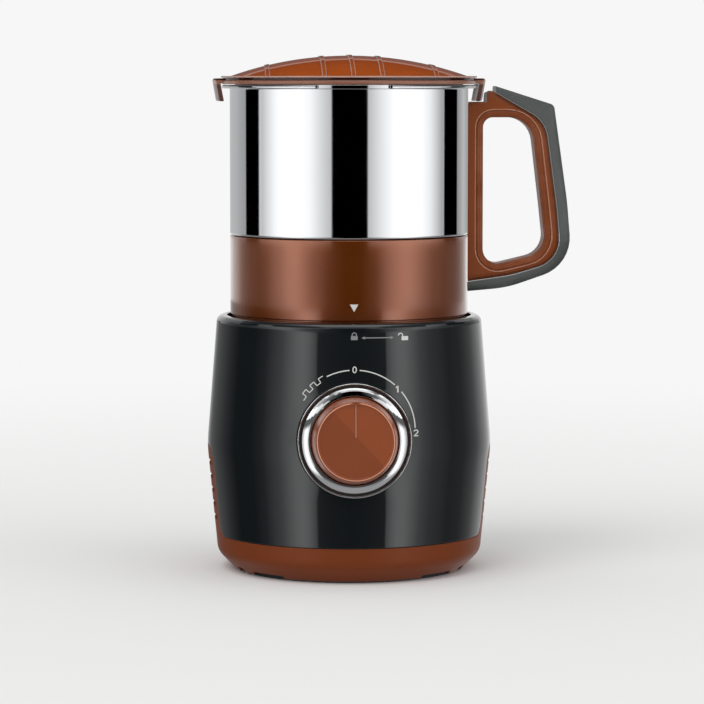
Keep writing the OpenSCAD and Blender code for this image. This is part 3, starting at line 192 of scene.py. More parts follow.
FINISHES = dict(
    gloss_black=dict(
        colour=(19, 23, 25), roughness=0.05, ior=1.6, uneven=0.02, grain_um=0.4, grain_mm=6.0,
        mottle=0.05, mottle_mm=30, wear_and_highlight=0.06, edge_mm=0.6,
    ),
    brown_plastic=dict(
        colour=(132, 63, 12), metallic=0.6, roughness=0.2, coat=1.0, coat_roughness=0.12,
        coat_ior=1.6, grain_um=0.5, grain_mm=0.8, mottle=0.06, mottle_mm=0.6, wear_and_highlight=0.15,
        edge_mm=0.5,
    ),
    skirt_plastic=dict(
        colour=(119, 54, 18), metallic=0.05, roughness=0.5, ior=1.25, coat=0.15,
        coat_roughness=0.3, grain_um=0.7, grain_mm=0.8, mottle=0.06, mottle_mm=0.6, wear_and_highlight=0.15,
        edge_mm=0.5,
    ),
    # The knob's face is painted paler beyond a diagonal line: a painted highlight
    knob_plastic=dict(
        colour=(144, 74, 42), metallic=0.1, roughness=0.35, ior=1.35, coat=0.3,
        coat_roughness=0.15, grain_um=0.7, grain_mm=0.8, mottle=0.05, mottle_mm=0.6, wear_and_highlight=0.3,
        edge_mm=0.4, painted_highlight=((0.73, 0.68), 51.9, 0.08),
    ),
    # Pale ink for the painted highlight round the handle's finger opening
    highlight_ink_dull=dict(
        colour=(188, 118, 80), roughness=0.25, coat=0.5, grain_um=0.5, mottle=0.08,
        mottle_mm=4.0, wear_and_highlight=0.0, edge_mm=0.05,
    ),
    # Pale ink for the painted highlights on the knob
    highlight_ink_brown=dict(
        colour=(216, 152, 124), roughness=0.25, coat=0.5, grain_um=0.5, mottle=0.04,
        mottle_mm=1.0, wear_and_highlight=0.0, edge_mm=0.05,
    ),
    # The handle's edges are painted pale: a painted highlight more than wear
    handle_plastic=dict(
        colour=(126, 60, 18), metallic=0.05, roughness=0.3, ior=1.2, coat=0.12,
        coat_roughness=0.1, grain_um=0.5, grain_mm=0.8, mottle=0.06, mottle_mm=0.6, wear_and_highlight=1.0,
        edge_mm=0.8,
    ),
    # The cover's edges are painted pale: a painted highlight more than wear
    grey_plastic=dict(
        colour=(62, 67, 64), roughness=0.36, ior=1.4, coat=0.3, coat_roughness=0.12,
        grain_um=2.0, grain_mm=0.5, mottle=0.06, wear_and_highlight=0.8, edge_mm=1.0,
    ),
    matte_black=dict(colour=(34, 35, 36), roughness=0.55, grain_um=8.0, grain_mm=0.6),
    switch_plastic=dict(colour=(70, 72, 76), roughness=0.45, grain_um=6.0),
    white_plastic=dict(colour=(226, 223, 214), roughness=0.4, grain_um=5.0, mottle=0.03),
    board_green=dict(colour=(30, 92, 62), roughness=0.3, coat=0.5, mottle=0.15, mottle_mm=3.0),
    black_rubber=dict(colour=(30, 30, 31), roughness=0.75, grain_um=14.0, grain_mm=0.4, wear_and_highlight=0.4),
    clear_silicone=dict(
        colour=(225, 225, 220), roughness=0.35, transmission=0.5, ior=1.42, mottle=0.02,
    ),
    polished_steel=dict(
        colour=(203, 204, 206), metallic=1.0, roughness=0.045, uneven=0.015, mottle=0.01,
        mottle_mm=25, grain_um=0.12, grain_mm=2.5, stretch=(0.3, 0.3, 3), wear_and_highlight=0.1, edge_mm=0.3,
    ),
    bright_steel=dict(
        colour=(196, 197, 199), metallic=1.0, roughness=0.16, uneven=0.04, mottle=0.03,
        grain_um=0.8, grain_mm=0.3, stretch=(1, 1, 6), wear_and_highlight=0.15,
    ),
    blade_steel=dict(
        colour=(198, 200, 203), metallic=1.0, roughness=0.2, uneven=0.06, mottle=0.04,
        grain_um=1.2, grain_mm=0.25, stretch=(0.3, 5, 1), wear_and_highlight=0.35, edge_mm=0.3,
    ),
    zinc_steel=dict(
        colour=(182, 184, 188), metallic=1.0, roughness=0.32, uneven=0.08, mottle=0.12,
        mottle_mm=2.5, grain_um=3.0, grain_mm=0.4, wear_and_highlight=0.3,
    ),
    lamination_steel=dict(
        colour=(128, 130, 134), metallic=0.9, roughness=0.42, uneven=0.1, mottle=0.18,
        mottle_mm=4.0, rings_mm=0.5, rings_um=40.0, wear_and_highlight=0.3,
    ),
    chrome_plate=dict(
        colour=(214, 215, 217), metallic=1.0, roughness=0.06, uneven=0.02, mottle=0.01,
        grain_um=0.2, grain_mm=3.0, wear_and_highlight=0.05, edge_mm=0.3,
    ),
    cast_aluminium=dict(
        colour=(170, 171, 172), metallic=0.95, roughness=0.45, uneven=0.1, mottle=0.12,
        mottle_mm=3.0, grain_um=18.0, grain_mm=0.7, wear_and_highlight=0.3,
    ),
    brass_parts=dict(
        colour=(200, 166, 92), metallic=1.0, roughness=0.28, uneven=0.08, mottle=0.12,
        mottle_mm=3.0, grain_um=2.0, wear_and_highlight=0.3,
    ),
    copper_wire=dict(
        colour=(176, 92, 48), metallic=0.9, roughness=0.3, mottle=0.12, mottle_mm=1.5,
        rings_mm=0.7, rings_um=120.0, coat=0.5, coat_roughness=0.15,
    ),
    commutator_copper=dict(
        colour=(190, 112, 72), metallic=1.0, roughness=0.25, mottle=0.15, mottle_mm=1.0,
        grain_um=2.0, grain_mm=0.2, stretch=(0.2, 0.2, 5),
    ),
    carbon=dict(colour=(44, 44, 46), roughness=0.6, mottle=0.15, mottle_mm=1.0, grain_um=9.0),
    amber_lid=dict(
        colour=(198, 92, 30), roughness=0.05, ior=1.4, transmission=0.35, uneven=0.02,
        grain_um=0.8, grain_mm=4.0, mottle=0.05, mottle_mm=12, wear_and_highlight=0.3, edge_mm=0.5, lid=True,
    ),
    print_white=dict(
        colour=(214, 214, 210), roughness=0.5, grain_um=2.0, grain_mm=0.2, mottle=0.05,
        mottle_mm=0.8, wear_and_highlight=0.0, edge_mm=0.05,
    ),
    print_grey=dict(
        colour=(132, 134, 134), roughness=0.5, grain_um=2.0, grain_mm=0.2, mottle=0.05,
        mottle_mm=0.8, wear_and_highlight=0.0, edge_mm=0.05,
    ),
)


# The lid's edge under its dome, from the bottom up: the hooks, a dull band, a dark band of painted
# shade at the groove and a pale band of painted highlight along the top, as (height in mm of the
# lower end, colour) pairs. LID_TOP_Z is where they end.
LID_LOW_Z, LID_TOP_Z = 238.0, 250.5
LID_EDGE = (
    (238.0, (92, 60, 52)), (246.35, (168, 118, 98)), (248.35, (58, 26, 16)),
    (249.7, (222, 182, 168)),
)
RIBS_X = (0.0, 14.3, 41.9)  # the ribs of the lid lie at these distances to both sides, in mm
# A painted highlight along each side of a rib, in mm from the rib's middle
RIB_HIGHLIGHT_X, RIB_HIGHLIGHT_HALF, RIB_HIGHLIGHT_SOFT = 0.98, 0.17, 0.08
RIB_HIGHLIGHT_MIX, RIB_HIGHLIGHT_COLOUR = 0.75, (222, 186, 172)


def lid_colour(graph, place, dome, variation):
    """Adds the edge's bands, with their painted shade and painted highlight, and painted highlights
    along the ribs to the colour of the dome.
    """
    parts = graph.node("SeparateXYZ", {0: place}).outputs
    high = graph.math("DIVIDE", parts["Z"], MM)
    aside = graph.math("ABSOLUTE", graph.math("DIVIDE", parts["X"], MM))
    gap = None
    for x in RIBS_X:
        off = graph.math("ABSOLUTE", graph.math("SUBTRACT", aside, x))
        gap = off if gap is None else graph.math("MINIMUM", gap, off)
    # A painted highlight along each side of each rib
    gap = graph.math("ABSOLUTE", graph.math("SUBTRACT", gap, RIB_HIGHLIGHT_X))
    line = graph.span(gap, RIB_HIGHLIGHT_HALF, RIB_HIGHLIGHT_HALF + RIB_HIGHLIGHT_SOFT, RIB_HIGHLIGHT_MIX, 0.0)
    dome = graph.mix(line, dome, linear(*RIB_HIGHLIGHT_COLOUR))
    # The bands of the edge, with a painted shade at the groove and a painted highlight along the top
    stops = [((z - LID_LOW_Z) / (LID_TOP_Z - LID_LOW_Z), linear(*c)) for z, c in LID_EDGE]
    bands = graph.ramp(graph.span(high, LID_LOW_Z, LID_TOP_Z), stops, "CONSTANT")
    edge = graph.scale(bands, variation)
    return graph.mix(graph.math("GREATER_THAN", high, LID_TOP_Z), edge, dome)


MICRON = 1e-6
NOISE_RANGE = (0.3, 0.7)  # most of what a noise texture gives lies between these
SMUDGE_MM = 14  # size of the smudges that change the roughness and the pale edges
WEAR_AND_HIGHLIGHT_RANGE = (0.35, 0.65)  # an edge is pale where the smudges are high in this range: wear, and on some finishes a painted highlight
EDGE_RANGE = (0.01, 0.15)  # how far a softened normal leans off, from a face to a pale edge
PALE_EDGE_GAIN, PALE_EDGE_LIFT = 1.6, 0.08  # how the colour of a pale edge (wear, and a painted highlight on some finishes) follows from the whole one
PAINTED_HIGHLIGHT_SOFT = 0.1  # mm over which the painted highlight's tone changes, to both sides
LID_WANDER = 0.08  # how far the colours of the lid's edge wander
RING_DISTORTION = 0.4
WAVE_RATE = 20  # a wave texture turns by this many radians a metre at a scale of 1


def make_finish(name, look):
    """A procedural material. look has all the entries of PLAIN, and a colour."""
    material, graph = new_material(name)
    place = graph.node("TexCoord").outputs["Object"]
    grain_place = graph.vector("MULTIPLY", place, look["stretch"])
    normal = graph.node("NewGeometry").outputs["Normal"]
    softened = graph.node("Bevel", {"Radius": look["edge_mm"] * MM}, samples=4).outputs[0]

    patches = graph.noise(place, 1 / (look["mottle_mm"] * MM), 3.0)
    smudges = graph.noise(place, 1 / (SMUDGE_MM * MM), 4.0)
    grain = graph.noise(grain_place, 1 / (look["grain_mm"] * MM))
    bend = graph.math("SUBTRACT", 1.0, graph.vector("DOT_PRODUCT", normal, softened))
    # Pale edges: wear, and on the handle and its cover a painted highlight
    edge_wear_and_highlight = graph.math(
        "MULTIPLY", graph.span(bend, *EDGE_RANGE), graph.span(smudges, *WEAR_AND_HIGHLIGHT_RANGE)
    )

    whole = linear(*look["colour"])[:3]
    shades = [
        tuple(channel * (1 + way * look["mottle"]) for channel in whole) + (1,) for way in (-1, 1)
    ]
    pale = tuple(min(1, channel * PALE_EDGE_GAIN + PALE_EDGE_LIFT) for channel in whole) + (1,)
    colour = graph.mix(graph.span(patches, *NOISE_RANGE), *shades)
    # A painted highlight: the face is painted paler beyond a line
    if look["painted_highlight"]:
        (way_x, way_z), edge, step = look["painted_highlight"]
        across = graph.vector("DOT_PRODUCT", place, (way_x, 0, way_z))
        ends = ((edge - PAINTED_HIGHLIGHT_SOFT) * MM, (edge + PAINTED_HIGHLIGHT_SOFT) * MM)
        colour = graph.scale(colour, graph.span(across, *ends, 1 - step, 1 + step))
    if look["lid"]:
        variation = graph.span(patches, *NOISE_RANGE, 1 - LID_WANDER, 1 + LID_WANDER)
        colour = lid_colour(graph, place, colour, variation)
    colour = graph.mix(graph.math("MULTIPLY", edge_wear_and_highlight, look["wear_and_highlight"]), colour, pale)
    smoothest = look["roughness"] - look["uneven"] / 2
    roughest = look["roughness"] + look["uneven"]
    roughness = graph.span(smudges, *NOISE_RANGE, smoothest, roughest)

    bump = graph.node(
        "Bump", {"Height": grain, "Distance": look["grain_um"] * MICRON, "Normal": softened}
    ).outputs[0]
    if look["rings_mm"]:
        rate = 2 * math.pi / (look["rings_mm"] * MM) / WAVE_RATE
        layers = graph.node(
            "TexWave",
            {"Vector": place, "Scale": rate, "Distortion": RING_DISTORTION},
            bands_direction="Z",
        ).outputs["Fac"]
        bump = graph.node(
            "Bump", {"Height": layers, "Distance": look["rings_um"] * MICRON, "Normal": bump}
        ).outputs[0]

    shader = graph.node(
        "BsdfPrincipled",
        {
            "Base Color": colour,
            "Metallic": look["metallic"],
            "Roughness": roughness,
            "IOR": look["ior"],
            "Coat Weight": look["coat"],
            "Coat Roughness": look["coat_roughness"],
            "Coat IOR": look["coat_ior"],
            "Transmission Weight": look["transmission"],
            "Normal": bump,
            "Coat Normal": softened,
        },
    )
    graph.node("OutputMaterial", {"Surface": shader.outputs[0]})
    return material


MATERIALS = {name: make_finish(name, {**PLAIN, **look}) for name, look in FINISHES.items()}

# These nodes share a slot with others, but show a plastic of their own.
OWN_FINISH = {
    "knob": "knob_plastic",
    "base_skirt": "skirt_plastic",
    "handle_frame": "handle_plastic",
}

for name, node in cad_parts.items():
    for holder in node.material_slots:
        slot = holder.material.name.split(".")[0]
        holder.material = MATERIALS[OWN_FINISH.get(name, slot)]

# In the photograph nothing mirrors the handle or the lid.
for name in ("handle_frame", "handle_cover", "handle_bracket", "handle_screws", "lid_dome"):
    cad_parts[name].visible_glossy = False


# -------------------------------------------------------------- printed marks

PRINT_HEIGHT = 0.05 * MM  # how far the ink stands on the surface
PRINT_ROOT = 0.05 * MM  # how far a mark reaches into it, so that it has no gap
ACROSS = 4  # facets over the width of a stroke
STEP = 0.5  # mm between the cross-sections of a stroke


class Skin:
    """The front of a CAD node, which marks are wrapped onto. Places are (x, z) in mm."""

    def __init__(self, node):
        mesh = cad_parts[node].data
        self.tree = BVHTree.FromPolygons(
            [v.co for v in mesh.vertices], [p.vertices for p in mesh.polygons]
        )

    def at(self, x, z, lift):
        """The place on the skin, raised by lift, as scene coordinates."""
        start = Vector((x * MM, -1, z * MM))
        spot, normal, _, _ = self.tree.ray_cast(start, Vector((0, 1, 0)))
        return spot + normal * lift


def divided(points, closed=False):
    """The same line with a point at least every STEP."""
    line = []
    ends = list(zip(points, points[1:] + points[:1]))
    for (x0, z0), (x1, z1) in ends if closed else ends[:-1]:
        count = max(1, math.ceil(math.hypot(x1 - x0, z1 - z0) / STEP))
        line += [(x0 + (x1 - x0) * i / count, z0 + (z1 - z0) * i / count) for i in range(count)]
    return line if closed else line + [points[-1]]


def arc(centre, radii, start, stop, count=24):
    """Points on an ellipse. Angles are in degrees, clockwise from the top."""
    angles = [math.radians(start + (stop - start) * i / count) for i in range(count + 1)]
    return [
        (centre[0] + radii[0] * math.sin(a), centre[1] + radii[1] * math.cos(a)) for a in angles
    ]


def rounded_loop(corners, grow, count=6):
    """Points round a convex outline of (x, z, radius) corners, given clockwise, grown by grow."""
    line = []
    for i, (x, z, radius) in enumerate(corners):
        here = Vector((x, z))
        others = (corners[i - 1], corners[(i + 1) % len(corners)])
        ways = [(Vector(other[:2]) - here).normalized() for other in others]
        half = ways[0].angle(ways[1]) / 2
        centre = here + (ways[0] + ways[1]).normalized() * (radius / math.sin(half))
        first, last = (here + way * (radius / math.tan(half)) - centre for way in ways)
        turn = first.angle_signed(last)
        for k in range(count + 1):
            spoke = first.copy()
            spoke.rotate(Matrix.Rotation(-turn * k / count, 2))
            line.append(tuple(centre + spoke * ((radius + grow) / radius)))
    return line


def add_stroke(mesh, skin, points, widths, closed=False):
    """One band of ink along points. widths is one width, or one for each end."""
    first, last = widths if isinstance(widths, tuple) else (widths, widths)
    line = divided(points, closed)
    rows = []
    for i, (x, z) in enumerate(line):
        before = line[i - 1] if i or closed else line[i]
        after = line[(i + 1) % len(line)] if i + 1 < len(line) or closed else line[i]
        along = Vector((after[0] - before[0], after[1] - before[1])).normalized()
        width = first + (last - first) * i / max(1, len(line) - 1)
        across = Vector((-along.y, along.x)) * width
        spread = [(k / ACROSS - 0.5) for k in range(ACROSS + 1)]
        places = [(x + across.x * s, z + across.y * s) for s in spread]
        top = [mesh.verts.new(skin.at(*p, PRINT_HEIGHT)) for p in places]
        low = [mesh.verts.new(skin.at(*p, -PRINT_ROOT)) for p in (places[0], places[-1])]
        rows.append([low[0], *top, low[1]])
    pairs = list(zip(rows, rows[1:] + rows[:1]))
    for a, b in pairs if closed else pairs[:-1]:
        for k in range(len(a) - 1):
            mesh.faces.new((a[k], a[k + 1], b[k + 1], b[k]))
    if not closed:
        mesh.faces.new(rows[0])
        mesh.faces.new(list(reversed(rows[-1])))


def printed(name, body, skin, strokes, material="print_white", both_sides=False):
    """A piece of ink: strokes are the arguments of add_stroke after the skin."""
    mesh = bmesh.new()
    for stroke in strokes:
        add_stroke(mesh, skin, *stroke)
    if both_sides:
        front = mesh.verts[:] + mesh.edges[:] + mesh.faces[:]
        for made in bmesh.ops.duplicate(mesh, geom=front)["geom"]:
            if isinstance(made, bmesh.types.BMVert):
                made.co.y *= -1
    bmesh.ops.recalc_face_normals(mesh, faces=mesh.faces)
    data = bpy.data.meshes.new(name)
    mesh.to_mesh(data)
    mesh.free()
    data.materials.append(MATERIALS[material])
    piece = add_object(name, data)
    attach(piece, body)
    return piece


def moved(points, x, z):
    return [(px + x, pz + z) for px, pz in points]


housing = Skin("base_housing")
collar = Skin("cup_collar")
knob_front = Skin("knob")

# The scale round the knob, its centre and radius. All places are (x, z) in mm.
DIAL, DIAL_R = (-0.1, 76.9), 30.1
LINE = 0.55  # width of the scale's line
DIGIT = 0.52  # width of a digit's stroke
BOLD = 1.3  # the one is drawn this much wider
DIGIT_UP = 1.4  # half the height of a digit's centre line
ZERO_AT, ONE_AT, TWO_AT = (0.0, 107.2), (21.2, 97.4), (30.4, 75.5)  # centres of the digits

zero = moved(arc((0, 0), (0.85, DIGIT_UP), 0, 360)[:-1], *ZERO_AT)
one = [
    moved([(-0.8, 0.6), (0.15, DIGIT_UP)], *ONE_AT),
    moved([(0.15, DIGIT_UP + 0.25), (0.15, -DIGIT_UP - 0.25)], *ONE_AT),
]
two = [
    moved(arc((0, 0.6), (0.95, 0.85), -80, 120, 16) + [(-0.95, -DIGIT_UP)], *TWO_AT),
    moved([(-1.15, -DIGIT_UP), (1.15, -DIGIT_UP)], *TWO_AT),
]
printed("scale_zero", "base", housing, [(zero, DIGIT, True)])
printed("scale_one", "base", housing, [(points, BOLD * DIGIT) for points in one])
printed("scale_two", "base", housing, [(points, DIGIT) for points in two])

SCALE_ARCS = ((-26.6, -4.6), (4.9, 41.5), (50.5, 88.0))  # from and to, in degrees from the top
printed(
    "scale_arcs",
    "base",
    housing,
    [(arc(DIAL, (DIAL_R, DIAL_R), a, b), LINE) for a, b in SCALE_ARCS],
)

# A plain square wave, the usual sign for a short pulse, carries the scale on at its left end. Its
# flats lie by turns inside and outside the scale's line.
PULSE_FROM, PULSE_STEP, PULSE_FLATS, PULSE_DEPTH, PULSE_LINE = -59.0, 4.9, 6, 1.15, 0.42
pulse = []
for flat in range(PULSE_FLATS):
    radius = DIAL_R + (PULSE_DEPTH if flat % 2 else -PULSE_DEPTH)
    start = PULSE_FROM + flat * PULSE_STEP
    pulse += arc(DIAL, (radius, radius), start, start + PULSE_STEP, 1)
printed("pulse_sign", "base", housing, [(ends, PULSE_LINE) for ends in zip(pulse, pulse[1:])])

# The padlock signs and the double arrow on the shoulder
LOCK_W, LOCK_H, SHACKLE_R, SHACKLE = 3.3, 2.0, 1.05, 0.5
BOW_UP, LEG_DOWN = 0.45, 0.2  # the bow's centre above the lock's body, the legs' ends in it


def padlock(x, z, shackle_x):
    """The body's centre, and how far the shackle is shifted, which then has one leg."""
    body = [(x, z - LOCK_H / 2), (x, z + LOCK_H / 2)]
    bow = arc((x + shackle_x, z + LOCK_H / 2 + BOW_UP), (SHACKLE_R, SHACKLE_R), -90, 90, 12)
    left, right = ((end[0], z + LOCK_H / 2 - LEG_DOWN) for end in (bow[0], bow[-1]))
    legs = [*bow, right] if shackle_x else [left, *bow, right]
    return [(body, LOCK_W), (legs, SHACKLE)]


ARROW_Z, ARROW_FROM, ARROW_TO, ARROW_LINE = 122.7, 3.4, 19.4, 0.5
HEAD, HEAD_WIDTHS = 1.7, (0.05, 1.5)  # an arrow's head: how long, how wide from its tip on
printed("sign_locked", "base", housing, padlock(-0.1, ARROW_Z, 0), "print_grey")
printed("sign_open", "base", housing, padlock(24.9, 122.2, -2.15), "print_white")
printed(
    "sign_turn",
    "base",
    housing,
    [
        ([(ARROW_FROM + HEAD, ARROW_Z), (ARROW_TO - HEAD, ARROW_Z)], ARROW_LINE),
        ([(ARROW_FROM, ARROW_Z), (ARROW_FROM + HEAD, ARROW_Z)], HEAD_WIDTHS),
        ([(ARROW_TO, ARROW_Z), (ARROW_TO - HEAD, ARROW_Z)], HEAD_WIDTHS),
    ],
    "print_grey",
)
# The triangle on the collar that points down at the padlocks
POINTER_X, POINTER_TOP, POINTER_TIP, POINTER_WIDTHS = 0.1, 138.6, 135.0, (4.2, 0.1)
pointer = [(POINTER_X, POINTER_TOP), (POINTER_X, POINTER_TIP)]
printed("cup_pointer", "cup", collar, [(pointer, POINTER_WIDTHS)])

# A painted highlight: a fine pale line of ink outside the lip round the finger opening, whose corners
# are (x, z, radius) in mm
OPENING = (
    (67.7, 229.7, 5), (92.0, 229.7, 13), (97.2, 186.0, 120), (99.8, 161.3, 11), (67.7, 153.6, 7.5),
)
LIP_OUT, LIP_HIGHLIGHT_WIDTH = 4.0, 0.5  # how far outside the opening the painted highlight runs, its width
lip = [(rounded_loop(OPENING, LIP_OUT), LIP_HIGHLIGHT_WIDTH, True)]
handle_lip_highlight = printed(
    "handle_lip_highlight", "cup", Skin("handle_frame"), lip, "highlight_ink_dull", both_sides=True
)
handle_lip_highlight.visible_glossy = False

# Painted highlights in pale ink: a ring round the face of the knob, open at the top, and a line in
# its groove
KNOB_Z, RING_HIGHLIGHT_R, RING_HIGHLIGHT_GAP, RING_HIGHLIGHT_WIDTH = 73.41, 18.8, 7, 0.45
LINE_X, LINE_FROM, LINE_TO, GROOVE_HIGHLIGHT_WIDTH = 0.05, 1.8, 18.4, 0.6
ring_highlight = arc((0, KNOB_Z), (RING_HIGHLIGHT_R, RING_HIGHLIGHT_R), RING_HIGHLIGHT_GAP, 360 - RING_HIGHLIGHT_GAP, 48)
line = [(LINE_X, KNOB_Z + LINE_FROM), (LINE_X, KNOB_Z + LINE_TO)]
printed("knob_ring_highlight", "knob", knob_front, [(ring_highlight, RING_HIGHLIGHT_WIDTH)], "highlight_ink_brown")
printed("knob_groove_highlight", "knob", knob_front, [(line, GROOVE_HIGHLIGHT_WIDTH)], "highlight_ink_brown")


# ------------------------------------------------------------ floor and light

BACKGROUND = 0.93  # how bright the camera sees the empty room
AMBIENT = 0.72  # light from all round
FLOOR_FADE = 0.25  # the floor fades into the background from this distance, in metres
FLOOR_R = 1.1  # to this one
FLOOR_PAINT = (0.86, 0.86, 0.855, 1)


def make_floor():
    material, graph = new_material("floor")
    away = graph.vector("LENGTH", graph.node("TexCoord").outputs["Object"])
    fade = graph.span(away, FLOOR_FADE, FLOOR_R, smooth=True)
    paint = graph.node("BsdfDiffuse", {"Color": FLOOR_PAINT}).outputs[0]
    clear = graph.node("BsdfTransparent").outputs[0]
    mixed = graph.node("MixShader", {0: fade, 1: paint, 2: clear}).outputs[0]
    graph.node("OutputMaterial", {"Surface": mixed})
    mesh = bmesh.new()
    bmesh.ops.create_circle(mesh, cap_ends=True, segments=96, radius=FLOOR_R)
    data = bpy.data.meshes.new("floor")
    mesh.to_mesh(data)
    mesh.free()
    data.materials.append(material)
    floor = add_object("floor", data)
    floor.visible_glossy = False


# What shiny surfaces see at the height of the object, as (bearing, light) pairs: two soft boxes
# that fade outwards, with a dark flag between them and a paler room behind.
GLOSS_LIGHT = (
    (-180, 0.75), (-155, 0.27), (-133, 0.22), (-109, 0.02), (-90, 0.02), (-77, 0.14), (-61, 0.67),
    (-47, 1.65), (-42, 1.78), (-37, 1.56), (-29.7, 0.72), (-29, 0.12), (-18, 0.06), (0, 0.03),
    (18, 0.06), (28.9, 0.1), (29.6, 0.78), (34.5, 1.4), (40, 1.78), (46, 1.72), (60, 0.7),
    (70, 0.37), (90, 0.12), (105, 0.14), (124, 0.37), (133, 0.6), (160, 0.95), (180, 0.75),
)
# What the collar sees: the same boxes, wider and softer, on a ring close around it
COLLAR_LIGHT = (
    (-180, 0.9), (-133, 0.9), (-113, 0.7), (-104, 0.38), (-92, 0.24), (-78, 0.2), (-70, 0.32),
    (-56, 1.0), (-49, 1.5), (-42, 1.6), (-36, 1.15), (-29.6, 0.66), (-17.6, 0.15), (-6, 0.0),
    (0, 0.0), (6, 0.0), (17.5, 0.18), (23.5, 0.62), (30, 1.1), (37, 1.45), (43, 1.55),
    (50, 1.2), (58, 0.72), (66, 0.38), (80, 0.2), (98, 0.22), (108, 0.35), (120, 0.65),
    (130, 1.0), (180, 0.9),
)
# What the steel of the cup sees: light panels with black flags between them, on a ring around it
PANEL_LIGHT = (
    (-180, 0.55), (-127, 0.65), (-105.6, 0.5), (-104.8, 0.0), (-86, 0.0), (-85.2, 0.93),
    (-81.5, 0.85), (-68, 1.5), (-58, 1.83), (-45, 1.74), (-34, 1.57), (-24, 1.1), (-16.5, 0.81),
    (-15.8, 0.0), (0, 0.0), (12.5, 0.0), (13.2, 0.81), (24.5, 1.3), (35, 1.68), (45.5, 1.82),
    (57, 1.8), (70, 1.42), (85, 0.6), (87.9, 0.6), (88.6, 0.0), (110, 0.0), (110.8, 0.42),
    (126, 0.7), (144, 0.42), (180, 0.55),
)
# What the top of the lid sees behind the object, as (elevation, light) pairs: a dark flag low
# down, one bright strip above it, and a dark room
BACK_LIGHT = ((0, 0.13), (15, 0.1), (16, 0.4), (17.5, 0.4), (18.5, 0.02), (44, 0.02), (60, 0.2))

RING_SIDES = 180  # flat sides of a ring of light panels


def make_panels(name, stops, radius, low, high):
    """A ring of light panels and dark flags that only shiny surfaces see. Sizes in metres."""
    material, graph = new_material(name)
    material.cycles.emission_sampling = "NONE"
    bearing = graph.bearing(graph.node("TexCoord").outputs["Object"])[0]
    light = graph.node("Emission", {"Color": graph.panorama(bearing, stops)}).outputs[0]
    graph.node("OutputMaterial", {"Surface": light})
    sides = range(RING_SIDES)
    turns = [2 * math.pi * k / RING_SIDES for k in sides]
    places = [(radius * math.cos(t), radius * math.sin(t), z) for z in (low, high) for t in turns]
    after = [(k + 1) % RING_SIDES for k in sides]
    faces = [(k, after[k], after[k] + RING_SIDES, k + RING_SIDES) for k in sides]
    data = bpy.data.meshes.new(name)
    data.from_pydata(places, [], faces)
    data.materials.append(material)
    ring = add_object(name, data)
    ring.visible_camera = ring.visible_diffuse = ring.visible_shadow = False
    ring.visible_transmission = ring.visible_volume_scatter = False


# The rest of the room that shiny surfaces see. Bearings and elevations are in degrees, and a pair
# is where a change begins and where it ends.
WALL, WALL_RISE = 0.14, (9, 15)  # the dim wall above the soft boxes
FRONT, FRONT_BEARING, FRONT_RISE = 1.1, (28, 40), (24, 30)  # a bright panel high up in front
BACK_BEARING, BACK_RISE = (140, 150), (0.5, 1.5)  # where BACK_LIGHT is seen
CEILING, BOX, CEILING_RISE = 0.35, 1.9, (52, 60)  # the ceiling and the soft box on it
# The soft box's half sizes to the start and the end of its edge, and how far it lies towards the
# front, each for a ceiling 1 m up
BOX_X, BOX_Y, BOX_FORWARD = (0.25, 0.5), (0.4, 0.5), 0.1
LOWEST_UP = 0.1  # keeps the places on the ceiling finite
GROUND, GROUND_RISE = 0.4, (-24, -36)  # the room below


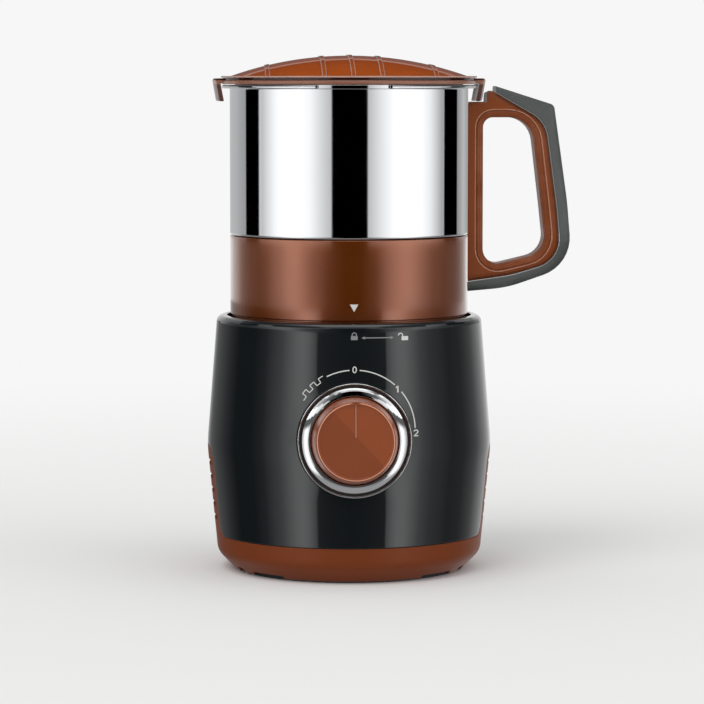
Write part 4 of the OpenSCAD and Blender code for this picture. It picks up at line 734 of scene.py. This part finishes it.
def make_world():
    world = bpy.data.worlds.new("studio")
    bpy.context.scene.world = world
    world.use_nodes = True
    world.cycles.sampling_method = "NONE"
    graph = Graph(world.node_tree)
    way = graph.node("TexCoord").outputs["Generated"]
    bearing, parts = graph.bearing(way)
    rise = graph.math("MULTIPLY", graph.math("ARCSINE", parts["Z"]), 180 / math.pi)
    turn = graph.math("ABSOLUTE", bearing)

    room = graph.panorama(bearing, GLOSS_LIGHT)
    room = graph.mix(graph.span(rise, *WALL_RISE, smooth=True), room, grey(WALL))
    in_front = graph.math(
        "MULTIPLY", graph.span(turn, *FRONT_BEARING, 1.0, 0.0), graph.span(rise, *FRONT_RISE)
    )
    room = graph.mix(in_front, room, grey(FRONT))
    top = BACK_LIGHT[-1][0]
    back = graph.ramp(
        graph.span(rise, 0, top), [(high / top, grey(light)) for high, light in BACK_LIGHT]
    )
    behind = graph.math(
        "MULTIPLY", graph.span(turn, *BACK_BEARING), graph.span(rise, *BACK_RISE)
    )
    room = graph.mix(behind, room, back)
    up = graph.math("MAXIMUM", parts["Z"], LOWEST_UP)
    across = graph.math("ABSOLUTE", graph.math("DIVIDE", parts["X"], up))
    along = graph.math("ADD", graph.math("DIVIDE", parts["Y"], up), BOX_FORWARD)
    box = graph.math(
        "MULTIPLY",
        graph.span(across, *BOX_X, 1.0, 0.0),
        graph.span(graph.math("ABSOLUTE", along), *BOX_Y, 1.0, 0.0),
    )
    ceiling = graph.mix(box, grey(CEILING), grey(BOX))
    room = graph.mix(graph.span(rise, *CEILING_RISE, smooth=True), room, ceiling)
    room = graph.mix(graph.span(rise, *GROUND_RISE, smooth=True), room, grey(GROUND))

    path = graph.node("LightPath").outputs
    seen = graph.math("ADD", path["Is Camera Ray"], path["Is Transmission Ray"], clamp=True)
    plain = graph.mix(seen, grey(AMBIENT), grey(BACKGROUND))
    light = graph.mix(path["Is Glossy Ray"], plain, room)
    shader = graph.node("Background", {"Color": light, "Strength": 1.0}).outputs[0]
    graph.node("OutputWorld", {"Surface": shader})


def aimed(way):
    """The rotation of a lamp or camera whose back points this way."""
    return Vector(way).to_track_quat("Z", "Y").to_euler()


def add_sun(name, strength, source, spread):
    """A soft light. source is where it comes from, spread how many degrees it covers."""
    data = bpy.data.lights.new(name, "SUN")
    data.energy = strength
    data.angle = math.radians(spread)
    lamp = add_object(name, data)
    lamp.rotation_euler = aimed(source)
    lamp.visible_glossy = False


make_floor()
make_panels("cup_panels", PANEL_LIGHT, radius=0.2, low=0.1365, high=0.262)
make_panels("collar_panels", COLLAR_LIGHT, radius=0.13, low=0.130, high=0.164)
make_world()
add_sun("key", 0.8, source=(-0.5, -0.6, 1.0), spread=40)
add_sun("fill", 0.35, source=(0.9, -0.5, 0.7), spread=50)


# --------------------------------------------------------------------- camera

FRAME_PX = 704  # width and height of the photograph
FOCUS_PX = 3141  # focal length in pixels of the photograph
SENSOR_MM = 36
# Where the camera stands and what it looks at, in metres
CAMERA_AT = Vector((-0.0642, -1.5987, 0.248))
CAMERA_AIM = Vector((0.00155, 0.0, 0.110))

camera_data = bpy.data.cameras.new("camera")
camera_data.sensor_width = SENSOR_MM
camera_data.lens = FOCUS_PX / FRAME_PX * SENSOR_MM
camera = add_object("camera", camera_data)
camera.location = CAMERA_AT
camera.rotation_euler = aimed(CAMERA_AT - CAMERA_AIM)
bpy.context.scene.camera = camera
bpy.context.scene.view_settings.view_transform = "Standard"
